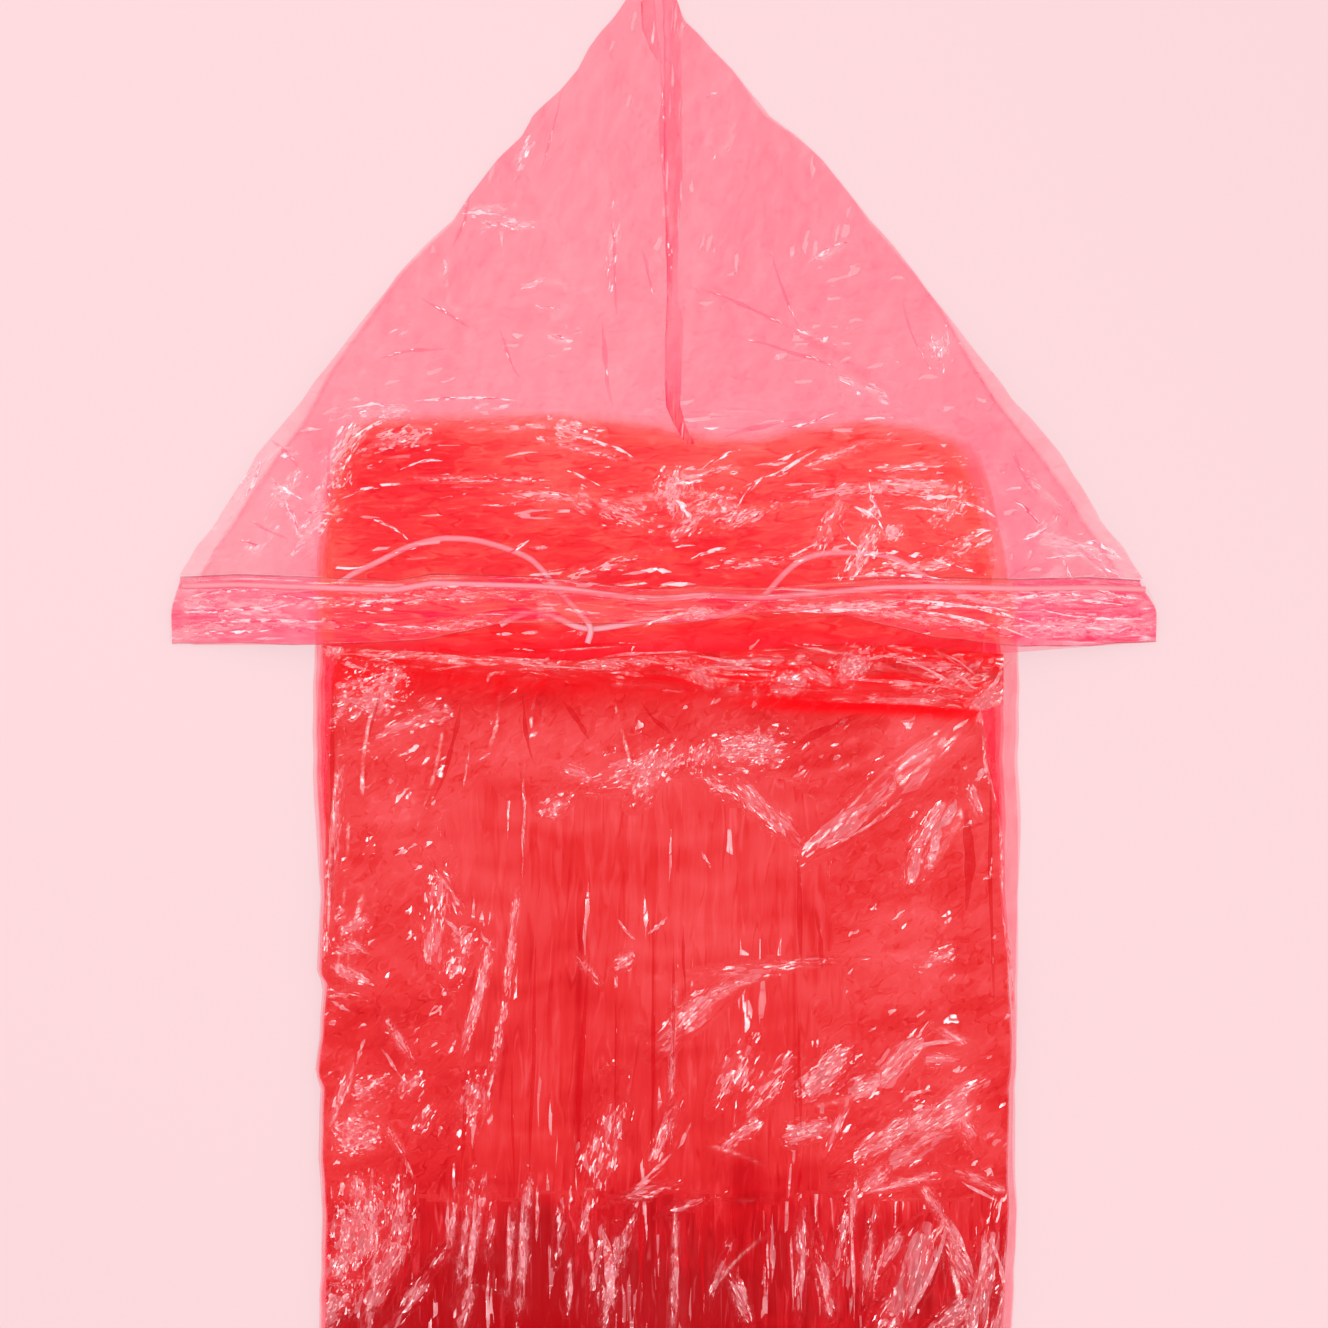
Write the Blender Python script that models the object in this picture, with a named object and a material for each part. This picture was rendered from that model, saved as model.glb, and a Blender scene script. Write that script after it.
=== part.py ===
"""A hooded rain poncho of thin red film, laid face up on a plain surface.

The body is folded lengthwise into a narrow strip, and the hood is flattened into a wide triangle
that covers the shoulders. The hood's point is towards +Y and the body's hem towards -Y.

All sizes below are real sizes in millimetres. They are drawn from the middle of the hood's hem,
with x to the right and y up towards the hood's point. At the end everything is moved together,
so that the middle of the whole footprint is the origin, and the surface is z = 0.
"""

import math
from collections import namedtuple

import bmesh
import bpy
from mathutils import Vector
from mathutils.geometry import delaunay_2d_cdt

MM = 0.001

# ---------------------------------------------------------------- driving sizes, millimetres

FILM = 1.0  # wall that stands for one crumpled layer of film
GAP = 0.3  # clearance between touching pieces
FOLDED_STACK = 2.4  # thickness of the sides that are folded in between back and front
CORD = 3.6  # thickness of the drawstring

SHOULDER_Y = 138.0  # fold over the shoulders, seen through the hood
BODY_HEM_Y = -882.0  # bottom hem, 1.02 m below the shoulder

# Levels of the layers where they lie on each other, from the surface up.
STACK_LOW = FILM + GAP
STACK_TOP = STACK_LOW + FOLDED_STACK
FRONT_LOW = STACK_TOP + GAP
OVER_FRONT = FRONT_LOW + FILM + GAP
OVER_HOOD_BACK = OVER_FRONT + FILM + GAP
CORD_LEVEL = OVER_HOOD_BACK + CORD / 2
OVER_CORDS = OVER_HOOD_BACK + CORD + GAP

# The hood steps down from the body to the surface between these distances outside the body.
HOOD_BACK_STEP = (2.0, 26.0)
HOOD_FRONT_STEP = (6.0, 34.0)
HEM_STEP = (10.0, 44.0)
STEP_LOW_Y = -20.0  # these steps are drawn above this
# Above the hem the hood's upper layer is held up by the string's free ends, as far as this.
LOFT_END_Y = 66.0
LOFT_FADE_Y = 98.0
LOFT_HALF_WIDTH = 250.0

# ---------------------------------------------------------------- outlines, millimetres

EdgeRow = namedtuple("EdgeRow", "y left right")

# Outline of the flattened hood. The point is just above the photo's edge.
HOOD_EDGE = [
    EdgeRow(-3.0, -294.0, 293.0),
    EdgeRow(2.0, -296.4, 295.8),
    EdgeRow(16.0, -296.4, 295.8),
    EdgeRow(28.0, -293.4, 292.0),
    EdgeRow(40.0, -288.6, 284.4),
    EdgeRow(56.0, -279.0, 274.0),
    EdgeRow(72.0, -267.0, 261.0),
    EdgeRow(94.0, -253.2, 248.4),
    EdgeRow(112.0, -242.4, 236.4),
    EdgeRow(132.0, -225.6, 220.0),
    EdgeRow(144.0, -216.6, 208.8),
    EdgeRow(184.0, -186.0, 177.6),
    EdgeRow(220.0, -158.4, 150.0),
    EdgeRow(236.0, -143.4, 137.4),
    EdgeRow(252.0, -126.0, 123.0),
    EdgeRow(266.0, -117.0, 112.6),
    EdgeRow(288.0, -100.2, 95.0),
    EdgeRow(302.0, -85.2, 79.6),
    EdgeRow(314.0, -78.6, 63.0),
    EdgeRow(330.0, -62.4, 50.8),
    EdgeRow(342.0, -52.0, 41.2),
    EdgeRow(355.0, -45.0, 28.0),
    EdgeRow(371.0, -32.4, 13.0),
    EdgeRow(384.0, -22.2, 7.2),
    EdgeRow(393.0, -12.0, 1.0),
]

# Outline of the folded body, from the shoulder fold down to the hem.
BODY_EDGE = [
    EdgeRow(SHOULDER_Y, -186.0, 173.0),
    EdgeRow(128.0, -193.0, 183.0),
    EdgeRow(92.0, -203.0, 196.0),
    EdgeRow(48.0, -208.0, 205.0),
    EdgeRow(-6.0, -210.0, 213.0),
    EdgeRow(-78.0, -210.6, 212.2),
    EdgeRow(-110.0, -208.6, 213.8),
    EdgeRow(-153.0, -206.4, 212.6),
    EdgeRow(-200.0, -208.6, 212.4),
    EdgeRow(-206.0, -204.6, 211.8),
    EdgeRow(-240.0, -207.0, 211.8),
    EdgeRow(-260.0, -209.6, 211.4),
    EdgeRow(-268.0, -206.2, 210.6),
    EdgeRow(-312.0, -207.2, 210.4),
    EdgeRow(-343.0, -205.0, 211.8),
    EdgeRow(-413.0, -207.0, 208.8),
    EdgeRow(-486.0, -209.4, 211.6),
    EdgeRow(-560.0, -206.2, 212.8),
    EdgeRow(-606.0, -208.6, 210.0),
    EdgeRow(-690.0, -205.4, 212.4),
    EdgeRow(-770.0, -208.8, 209.8),
    EdgeRow(-840.0, -206.0, 211.6),
    EdgeRow(BODY_HEM_Y, -207.4, 210.6),
]

# How far the front panel's own edges lie inside the folded body's outline.
InsetRow = namedtuple("InsetRow", "y left right")
FRONT_INSET = [
    InsetRow(SHOULDER_Y, 3.0, 3.0),
    InsetRow(48.0, 5.0, 7.0),
    InsetRow(-6.0, 12.6, 22.0),
    InsetRow(-40.0, 11.0, 23.0),
    InsetRow(-78.0, 9.0, 17.4),
    InsetRow(-153.0, 3.0, 10.6),
    InsetRow(-200.0, 3.4, 6.0),
    InsetRow(-240.0, 2.6, 3.4),
    InsetRow(-413.0, 4.2, 6.6),
    InsetRow(-606.0, 3.0, 4.0),
    InsetRow(BODY_HEM_Y, 3.6, 3.0),
]

FRONT_END_INSET = 1.0  # how far its ends lie inside

# Each hidden layer's inset from the outline, from the lowest up: they show as steps.
LAYER_INSETS = [1.6, 0.6, 2.4, 1.2]

# Where the hood's under layer ends at the neck seam, from left to right.
NeckRow = namedtuple("NeckRow", "x hood_edge seam_edge rise slant")
NECK = [
    NeckRow(-294.0, -3.0, -14.0, 0.0, 0.0),
    NeckRow(-206.0, -3.0, -16.0, 1.4, 0.0),
    NeckRow(-110.0, -9.0, -24.0, 2.6, 2.0),
    NeckRow(-60.0, -12.0, -28.0, 3.0, 3.0),
    NeckRow(-8.0, -9.0, -33.0, 3.4, 5.0),
    NeckRow(60.0, -5.0, -36.0, 3.8, 8.0),
    NeckRow(142.0, -2.0, -39.0, 4.2, 10.0),
    NeckRow(190.0, -7.0, -43.0, 3.6, 4.0),
    NeckRow(203.0, -8.0, -40.0, 1.2, 0.0),
    NeckRow(293.0, -1.0, -14.0, 0.0, 0.0),
]

# The hem of the face opening: its upper and lower edge and the string inside, left to right.
HemRow = namedtuple("HemRow", "x upper lower string lift")
HEM = [
    HemRow(-296.0, 38.0, -2.4, 32.0, 0.0),
    HemRow(-256.0, 39.4, -1.8, 33.0, 0.0),
    HemRow(-222.0, 38.2, -3.0, 31.6, 0.0),
    HemRow(-161.0, 35.6, -1.8, 29.6, 0.0),
    HemRow(-138.0, 39.6, 0.6, 33.6, 0.0),
    HemRow(-96.0, 38.4, 9.6, 32.4, 0.0),
    HemRow(-76.0, 37.8, 9.8, 31.8, 0.6),
    HemRow(-60.0, 36.4, 10.0, 30.4, 4.1),
    HemRow(-38.0, 33.4, 10.0, 27.4, 4.3),
    HemRow(-14.0, 30.6, 9.4, 24.6, 0.8),
    HemRow(4.0, 30.8, 9.6, 24.8, 0.0),
    HemRow(22.0, 32.6, 11.0, 26.6, 0.0),
    HemRow(58.0, 31.0, 16.0, 25.0, 0.0),
    HemRow(98.0, 34.2, 17.0, 28.2, 0.0),
    HemRow(130.0, 37.0, 9.0, 31.0, 0.0),
    HemRow(160.0, 37.6, 1.6, 31.6, 0.0),
    HemRow(213.0, 36.4, -4.0, 30.4, 0.0),
    HemRow(256.0, 37.6, -3.4, 31.2, 0.0),
    HemRow(296.0, 36.0, -0.8, 30.0, 0.0),
]

# The weld down the middle of the hood, from its point to its lower end.
SeamRow = namedtuple("SeamRow", "y middle width")
HOOD_SEAM = [
    SeamRow(388.0, -9.0, 10.0),
    SeamRow(352.0, -5.0, 13.0),
    SeamRow(320.0, 4.6, 12.0),
    SeamRow(252.0, 4.2, 9.0),
    SeamRow(204.0, 2.8, 8.0),
    SeamRow(160.0, 5.4, 10.0),
    SeamRow(140.0, 4.6, 9.0),
    SeamRow(129.0, 9.2, 8.0),
    SeamRow(117.0, 15.6, 6.0),
]

# ---------------------------------------------------------------- folds, millimetres

# A fold is a soft ridge from one point to another. bow is how far its middle swings sideways.
Fold = namedtuple("Fold", "x0 y0 x1 y1 rise half_width bow")

NECK_PUCKERS = [
    Fold(178, -50, 99, -122, 4.2, 9, -6),
    Fold(26, -62, 76, -117, 3.2, 7, 5),
    Fold(176, -96, 152, -140, 3.4, 6, 0),
    Fold(-127, -34, -151, -122, 2.4, 5, 6),
    Fold(-168, -30, -178, -98, 2.6, 5, -4),
    Fold(-96, -38, -110, -86, 2.2, 5, 3),
    Fold(-64, -40, -70, -92, 2.6, 6, -3),
    Fold(-30, -44, -14, -104, 2.8, 6, 3),
    Fold(58, -46, 62, -84, 2.6, 5, 0),
    Fold(96, -48, 84, -78, 2.6, 5, 2),
    Fold(136, -50, 116, -82, 2.8, 5, -3),
]

PACK_CREASES = [
    Fold(-85, -60, -85, -322, 1.8, 4, 3),
    Fold(-46, -156, -45, -322, 1.6, 4, -2),
    Fold(7, -96, 7, -322, 2.2, 6, 1),
    Fold(83, -130, 84, -322, 2.2, 5, -2),
    Fold(-107, -193, -124, -322, 1.8, 5, -3),
    Fold(-191, -46, -199, -190, 2.6, 4, -2),
    Fold(181, -66, 193, -196, 2.6, 5, 3),
    Fold(-85, -340, -84, -592, 1.8, 4, 2),
    Fold(-45, -340, -46, -592, 1.6, 4, -2),
    Fold(7, -340, 8, -592, 2.2, 6, 1),
    Fold(84, -340, 82, -592, 2.2, 5, 2),
    Fold(-85, -618, -86, -866, 1.8, 4, -2),
    Fold(7, -618, 6, -866, 2.2, 6, -2),
    Fold(84, -618, 84, -866, 2.0, 5, 2),
]

CRUMPLES = [
    Fold(16, -230, 62, -200, 2.6, 7, 6),
    Fold(84, -278, 142, -250, 3.0, 7, -5),
    Fold(133, -318, 190, -276, 3.2, 8, 5),
    Fold(-188, -210, -167, -134, 2.6, 6, 4),
    Fold(-142, -190, -98, -138, 2.6, 7, -4),
    Fold(128, -176, 176, -216, 2.4, 6, 4),
    Fold(-190, -300, -150, -262, 2.6, 7, 5),
    Fold(20, -300, 66, -316, 2.2, 6, 3),
    Fold(-172, -346, -178, -412, 2.8, 6, 4),
    Fold(-130, -344, -124, -404, 2.2, 5, -2),
    Fold(-22, -346, -26, -404, 2.2, 5, 2),
    Fold(146, -346, 170, -416, 3.2, 7, 12),
    Fold(188, -350, 194, -420, 2.6, 5, -3),
    Fold(30, -386, 66, -352, 2.4, 6, 4),
    Fold(-180, -520, -120, -466, 2.8, 7, 6),
    Fold(110, -540, 172, -492, 3.0, 7, -6),
    Fold(-30, -470, 66, -452, 2.2, 6, 5),
    Fold(-160, -700, -112, -652, 2.6, 7, -5),
    Fold(104, -690, 176, -724, 2.8, 7, 6),
    Fold(-60, -770, -20, -708, 2.4, 6, 4),
    Fold(-178, -800, -120, -838, 2.6, 7, 5),
    Fold(116, -800, 168, -846, 2.6, 7, -4),
]

CROSS_CREASES = [
    Fold(-196, -330, -56, -336, 2.0, 5, 4),
    Fold(-50, -336, 76, -332, 2.0, 5, -4),
    Fold(90, -330, 200, -334, 2.0, 5, 4),
    Fold(-196, -604, -52, -606, 2.0, 5, -3),
    Fold(-44, -606, 200, -605, 2.0, 5, 4),
]

HOOD_FOLDS = [
    Fold(-146, 128, -176, 112, 2.2, 6, 3),
    Fold(-120, 250, -82, 256, 2.4, 6, 3),
    Fold(-82, 214, -54, 204, 2.0, 5, 2),
    Fold(-74, 186, -50, 178, 2.0, 5, -2),
    Fold(86, 226, 116, 244, 2.4, 6, -2),
    Fold(152, 170, 182, 178, 2.2, 5, 2),
    Fold(-30, 300, -20, 176, 2.0, 5, -4),
    Fold(30, 214, 46, 176, 2.2, 6, 3),
    Fold(70, 190, 132, 148, 2.2, 6, 5),
    Fold(-150, 190, -104, 156, 2.0, 6, -4),
    Fold(-76, 126, -34, 120, 2.2, 6, 4),
    Fold(90, 104, 150, 112, 2.4, 6, -4),
    Fold(-236, 92, -214, 60, 2.2, 5, 3),
    Fold(218, 62, 262, 52, 2.2, 5, 4),
    Fold(-40, 74, 40, 82, 2.2, 5, 5),
]

# ---------------------------------------------------------------- the string's free ends

RoutePoint = namedtuple("RoutePoint", "x y lift")

LEFT_END = [
    RoutePoint(-194.0, 34.0, 0.0),
    RoutePoint(-184.0, 40.4, 0.0),
    RoutePoint(-170.4, 46.8, 0.0),
    RoutePoint(-153.6, 55.2, 0.0),
    RoutePoint(-136.2, 60.0, 0.0),
    RoutePoint(-125.4, 60.6, 0.0),
    RoutePoint(-111.6, 59.4, 0.0),
    RoutePoint(-94.2, 54.6, 0.0),
    RoutePoint(-80.4, 48.6, 0.0),
    RoutePoint(-71.4, 40.2, 0.0),
    RoutePoint(-66.6, 34.0, 0.4),
    RoutePoint(-60.0, 26.4, 1.8),
    RoutePoint(-51.6, 17.4, 3.6),
    RoutePoint(-45.6, 10.8, 4.0),
    RoutePoint(-43.6, 5.4, 4.1),
    RoutePoint(-45.6, -1.8, 3.4),
]

RIGHT_END = [
    RoutePoint(199.0, 20.0, 0.0),
    RoutePoint(188.4, 23.4, 0.0),
    RoutePoint(172.2, 30.0, 0.0),
    RoutePoint(153.0, 39.6, 0.0),
    RoutePoint(140.4, 47.4, 0.0),
    RoutePoint(127.8, 51.0, 0.0),
    RoutePoint(109.2, 52.2, 0.0),
    RoutePoint(92.4, 51.0, 0.0),
    RoutePoint(79.8, 46.2, 0.0),
    RoutePoint(69.6, 37.2, 0.0),
    RoutePoint(59.0, 26.0, 0.0),
    RoutePoint(44.0, 17.6, 0.0),
    RoutePoint(26.0, 13.6, 0.0),
    RoutePoint(7.8, 12.0, 0.0),
    RoutePoint(-14.4, 10.8, 0.0),
    RoutePoint(-28.2, 8.4, 0.0),
    RoutePoint(-43.2, 6.6, 0.0),
    RoutePoint(-53.4, 8.4, 0.0),
    RoutePoint(-62.4, 12.6, 0.0),
    RoutePoint(-71.4, 16.2, 0.0),
    RoutePoint(-80.4, 16.2, 0.0),
    RoutePoint(-91.2, 12.6, 0.0),
    RoutePoint(-97.8, 9.0, 0.0),
]
ROUTE_STEP = 7.5  # distance between a tube's own points
CURVE_STEPS = 16  # straight pieces that measure the curve between two route points
TUBE_SIDES = 2  # bevel resolution, which gives 8 sides

# ---------------------------------------------------------------- materials

# Name, colour, roughness and alpha of each material.
FILM_RED = ("film_red", (0.80, 0.045, 0.055, 1.0), 0.22, 1.0)
FILM_PINK = ("film_pink", (0.98, 0.30, 0.36, 1.0), 0.22, 0.62)
WELD_RED = ("weld_red", (0.93, 0.16, 0.21, 1.0), 0.28, 0.85)
STRING_PINK = ("string_pink", (0.95, 0.62, 0.66, 1.0), 0.4, 1.0)


def material(name, colour, roughness, alpha):
    """The material of that name, made when it is first asked for."""
    found = bpy.data.materials.get(name)
    if found:
        return found
    made = bpy.data.materials.new(name)
    made.use_nodes = True
    shader = made.node_tree.nodes["Principled BSDF"]
    shader.inputs["Base Color"].default_value = colour
    shader.inputs["Roughness"].default_value = roughness
    shader.inputs["Metallic"].default_value = 0.0
    shader.inputs["Alpha"].default_value = alpha
    made.diffuse_color = colour
    return made


# ---------------------------------------------------------------- helpers


def between(rows, key, value, place):
    """The value of a table at a place between its rows, which run along the column named key."""
    ordered = sorted(rows, key=lambda row: getattr(row, key))
    for low, high in zip(ordered, ordered[1:]):
        start = getattr(low, key)
        end = getattr(high, key)
        if place <= end or high is ordered[-1]:
            share = min(max((place - start) / (end - start), 0.0), 1.0)
            return getattr(low, value) * (1 - share) + getattr(high, value) * share
    return getattr(ordered[-1], value)


def ramp(value, start, end, first, last):
    """A straight slope from first at start to last at end, and level on both sides of it."""
    share = min(max((value - start) / (end - start), 0.0), 1.0)
    return first + (last - first) * share


def beyond_body(x, y):
    """How far a point is outside the body's upper part, and below zero where it is over it."""
    left = between(BODY_EDGE, "y", "left", y)
    right = between(BODY_EDGE, "y", "right", y)
    return max(left - x, x - right, y - SHOULDER_Y)


def closed_outline(rows, side_inset=0.0, end_inset=0.0):
    """The outline of a table of edge rows, anticlockwise, drawn in by the insets."""
    rows = sorted(rows, key=lambda row: row.y)
    ys = [row.y for row in rows]
    ys[0] += end_inset
    ys[-1] -= end_inset
    right = [(row.right - side_inset, y) for row, y in zip(rows, ys)]
    left = [(row.left + side_inset, y) for row, y in zip(rows, ys)]
    return right + left[::-1]


def inside(point, outline):
    """Whether a point lies inside a closed outline."""
    x, y = point
    crossings = 0
    for (x0, y0), (x1, y1) in zip(outline, outline[1:] + outline[:1]):
        if (y0 > y) != (y1 > y) and x < x0 + (x1 - x0) * (y - y0) / (y1 - y0):
            crossings += 1
    return crossings % 2 == 1


def edge_distance(point, outline):
    """The distance from a point to the nearest side of a closed outline."""
    return min(
        segment_distance(point, start, end)[0]
        for start, end in zip(outline, outline[1:] + outline[:1])
    )


def segment_distance(point, start, end):
    """(distance, share along) from a point to a straight piece of line."""
    ax, ay = start
    dx = end[0] - ax
    dy = end[1] - ay
    length_squared = dx * dx + dy * dy
    share = ((point[0] - ax) * dx + (point[1] - ay) * dy) / length_squared
    share = min(max(share, 0.0), 1.0)
    return math.hypot(point[0] - ax - share * dx, point[1] - ay - share * dy), share


# ---------------------------------------------------------------- folds in plan and height

CREST_SHARES = (0.0, 0.2, 0.5, 0.8, 1.0)
CREST_RISES = (0.0, 0.8, 1.0, 0.8, 0.0)
FOOT_SHARES = (0.12, 0.5, 0.88)
FADE_SHARE = 0.2  # over this share of its length at each end a fold narrows and sinks
LEAST_WIDTH_SHARE = 0.05  # how narrow it gets there


def along(fold, share, aside=0.0):
    """The point at a share of a fold's length, moved aside to its left."""
    dx = fold.x1 - fold.x0
    dy = fold.y1 - fold.y0
    length = math.hypot(dx, dy)
    swing = fold.bow * 4 * share * (1 - share) + aside
    return (fold.x0 + dx * share - dy / length * swing, fold.y0 + dy * share + dx / length * swing)


def fold_lines(folds):
    """The crest and the two feet of every fold, as lines in plan."""
    lines = []
    for fold in folds:
        lines.append([along(fold, share) for share in CREST_SHARES])
        for side in (-fold.half_width, fold.half_width):
            foot = [along(fold, share, side) for share in FOOT_SHARES]
            lines.append([along(fold, 0.0)] + foot + [along(fold, 1.0)])
    return lines


def fold_height(fold, point):
    """How far one fold lifts the film at a point."""
    dx = fold.x1 - fold.x0
    dy = fold.y1 - fold.y0
    length = math.hypot(dx, dy)
    share = ((point[0] - fold.x0) * dx + (point[1] - fold.y0) * dy) / (length * length)
    if not 0.0 < share < 1.0:
        return 0.0
    aside = ((point[1] - fold.y0) * dx - (point[0] - fold.x0) * dy) / length
    aside -= fold.bow * 4 * share * (1 - share)
    fade = min(1.0, share / FADE_SHARE, (1 - share) / FADE_SHARE)
    crest = list(zip(CREST_SHARES, CREST_RISES))
    for (start, first), (end, last) in zip(crest, crest[1:]):
        if share <= end:
            local = ramp(share, start, end, first, last)
            break
    width = fold.half_width * max(fade, LEAST_WIDTH_SHARE)
    return fold.rise * local * max(0.0, 1 - abs(aside) / width)


def folds_height(folds, point):
    """How far the highest fold at a point lifts the film there."""
    return max((fold_height(fold, point) for fold in folds), default=0.0)


# ---------------------------------------------------------------- walls from a plan

Plan = namedtuple("Plan", "points faces")
SAME_POINT = 0.001  # lines that pass this close to each other meet
CLOSEST_POINTS = 0.9  # points of a plan nearer than this are joined
FILL_SPACING = 45.0  # between the points that fill a plan where it has no folds
ROW_PITCH = 0.87  # distance between the rows of those points, in spacings
EDGE_CLEARANCE = 0.4  # how far they stay from the outline, in spacings
FOLD_CLEARANCE = 0.3  # and from a fold


def fill_points(outline, folds):
    """Evenly staggered points inside an outline, clear of its edge and of the folds."""
    spacing = FILL_SPACING
    xs = [point[0] for point in outline]
    ys = [point[1] for point in outline]
    found = []
    row = 0
    y = min(ys) + spacing / 2
    while y < max(ys):
        x = min(xs) + spacing * (0.5 if row % 2 else 1.0)
        while x < max(xs):
            clear = inside((x, y), outline)
            clear = clear and edge_distance((x, y), outline) > spacing * EDGE_CLEARANCE
            if clear and all(near_fold((x, y), fold) > spacing * FOLD_CLEARANCE for fold in folds):
                found.append((x, y))
            x += spacing
        y += spacing * ROW_PITCH
        row += 1
    return found


def near_fold(point, fold):
    """The distance from a point to a fold's foot, along the straight line of the fold."""
    distance, _ = segment_distance(point, (fold.x0, fold.y0), (fold.x1, fold.y1))
    return distance - fold.half_width


def make_plan(outline, lines, spots):
    """Triangles in plan that fill an outline and have every line among their edges."""
    points = [Vector(point) for point in outline]
    count = len(points)
    edges = [(index, (index + 1) % count) for index in range(count)]
    for line in lines:
        first = len(points)
        points.extend(Vector(point) for point in line)
        edges.extend((index, index + 1) for index in range(first, len(points) - 1))
    points.extend(Vector(spot) for spot in spots)
    found = delaunay_2d_cdt(points, edges, [list(range(count))], 0, SAME_POINT)
    flat = bmesh.new()
    made = [flat.verts.new((place.x, place.y, 0.0)) for place in found[0]]
    for face in found[2]:
        middle = [sum(found[0][index][axis] for index in face) / 3 for axis in (0, 1)]
        if inside(middle, outline):
            flat.faces.new([made[index] for index in face])
    loose = [vert for vert in flat.verts if not vert.link_faces]
    bmesh.ops.delete(flat, geom=loose, context="VERTS")
    bmesh.ops.remove_doubles(flat, verts=flat.verts, dist=CLOSEST_POINTS)
    flat.verts.ensure_lookup_table()
    flat.verts.index_update()
    plan = Plan(
        [(vert.co.x, vert.co.y) for vert in flat.verts],
        [tuple(vert.index for vert in face.verts) for face in flat.faces],
    )
    flat.free()
    return plan


def part_of_plan(plan, wanted):
    """The faces of a plan whose middle is wanted, with only the points that they use."""
    kept = []
    for face in plan.faces:
        middle = [sum(plan.points[index][axis] for index in face) / 3 for axis in (0, 1)]
        if wanted(middle):
            kept.append(face)
    used = sorted({index for face in kept for index in face})
    place = {index: number for number, index in enumerate(used)}
    points = [plan.points[index] for index in used]
    return Plan(points, [tuple(place[index] for index in face) for face in kept])


def wall_from_plan(name, plan, low, look, thickness=FILM):
    """A wall of one thickness over a plan. low(x, y) is the height of its lower side."""
    count = len(plan.points)
    lower = [(x, y, low(x, y)) for x, y in plan.points]
    upper = [(x, y, z + thickness) for x, y, z in lower]
    faces = [tuple(index + count for index in face) for face in plan.faces]
    faces += [face[::-1] for face in plan.faces]
    directed = {(face[side], face[(side + 1) % 3]) for face in plan.faces for side in range(3)}
    for start, end in sorted(directed):
        if (end, start) not in directed:
            faces.append((start, end, end + count, start + count))
    return add_solid(name, lower + upper, faces, look)


def add_solid(name, points, faces, look):
    """A mesh object of one closed body, in metres, with its faces pointing out."""
    mesh = bpy.data.meshes.new(name)
    mesh.from_pydata([[value * MM for value in point] for point in points], [], faces)
    solid = bmesh.new()
    solid.from_mesh(mesh)
    bmesh.ops.recalc_face_normals(solid, faces=solid.faces)
    solid.to_mesh(mesh)
    solid.free()
    mesh.materials.append(material(*look))
    obj = bpy.data.objects.new(name, mesh)
    bpy.context.scene.collection.objects.link(obj)
    return obj


def add_loft(name, rings, look, capped):
    """A closed body through rings of equal length. Without caps its last ring meets its first."""
    size = len(rings[0])
    points = [point for ring in rings for point in ring]
    faces = []
    pairs = list(zip(range(len(rings) - 1), range(1, len(rings))))
    if not capped:
        pairs.append((len(rings) - 1, 0))
    for one, other in pairs:
        for index in range(size):
            after = (index + 1) % size
            here = one * size
            there = other * size
            faces.append((here + index, here + after, there + after, there + index))
    if capped:
        faces.append(tuple(range(size))[::-1])
        faces.append(tuple(range((len(rings) - 1) * size, len(rings) * size)))
    return add_solid(name, points, faces, look)


# ---------------------------------------------------------------- body


def add_back_panel():
    """The lowest layer, flat on the surface."""
    outline = closed_outline(BODY_EDGE)
    rings = [[(x, y, z) for x, y in outline] for z in (0.0, FILM)]
    return add_loft("back_panel", rings, FILM_RED, capped=True)


def add_folded_sides():
    """The sides that are folded in, as one solid whose layers show as steps at its edges."""
    layer = FOLDED_STACK / len(LAYER_INSETS)
    rings = []
    for number, inset in enumerate(LAYER_INSETS):
        outline = closed_outline(BODY_EDGE, inset, inset)
        for z in (STACK_LOW + number * layer, STACK_LOW + (number + 1) * layer):
            rings.append([(x, y, z) for x, y in outline])
    return add_loft("folded_sides", rings, FILM_RED, capped=True)


def front_outline():
    """The front panel's own outline, inside the body's."""
    rows = []
    for row in BODY_EDGE:
        left = row.left + between(FRONT_INSET, "y", "left", row.y)
        right = row.right - between(FRONT_INSET, "y", "right", row.y)
        rows.append(EdgeRow(row.y, left, right))
    return closed_outline(rows, end_inset=FRONT_END_INSET)


def add_front_panel():
    """The upper layer of the body, with its pack creases, puckers and crumples."""
    folds = NECK_PUCKERS + PACK_CREASES + CRUMPLES + CROSS_CREASES
    outline = front_outline()
    plan = make_plan(outline, fold_lines(folds), fill_points(outline, folds))
    return wall_from_plan(
        "front_panel", plan, lambda x, y: FRONT_LOW + folds_height(folds, (x, y)), FILM_RED
    )


PLEAT_WIDTH = 10.0
PLEAT_VARIATION = 2.6
PLEAT_PHASE = 2.4  # turns the variation from one pleat to the next, in radians
PLEAT_PROFILE = (0.1, 0.75, 1.0, 0.7, 0.12)  # share of the full rise across the seam's band
KNOT = Vector((192.0, -34.0))
KNOT_RISE = 5.0
KNOT_RADIUS = 15.0
KNOT_SHARE = 3.0  # how soon the knot reaches its full height, against the pleats' profile
NECK_LEFT_X = -204.0
NECK_RIGHT_X = 203.0


def pleat_edges():
    """The places of the troughs and crests of the gathered seam, which are unevenly spaced."""
    places = [NECK_LEFT_X]
    number = 0
    while places[-1] < NECK_RIGHT_X - PLEAT_WIDTH / 2:
        width = PLEAT_WIDTH + PLEAT_VARIATION * math.sin(number * PLEAT_PHASE)
        places.append(places[-1] + width / 2)
        number += 1
    return places


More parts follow.
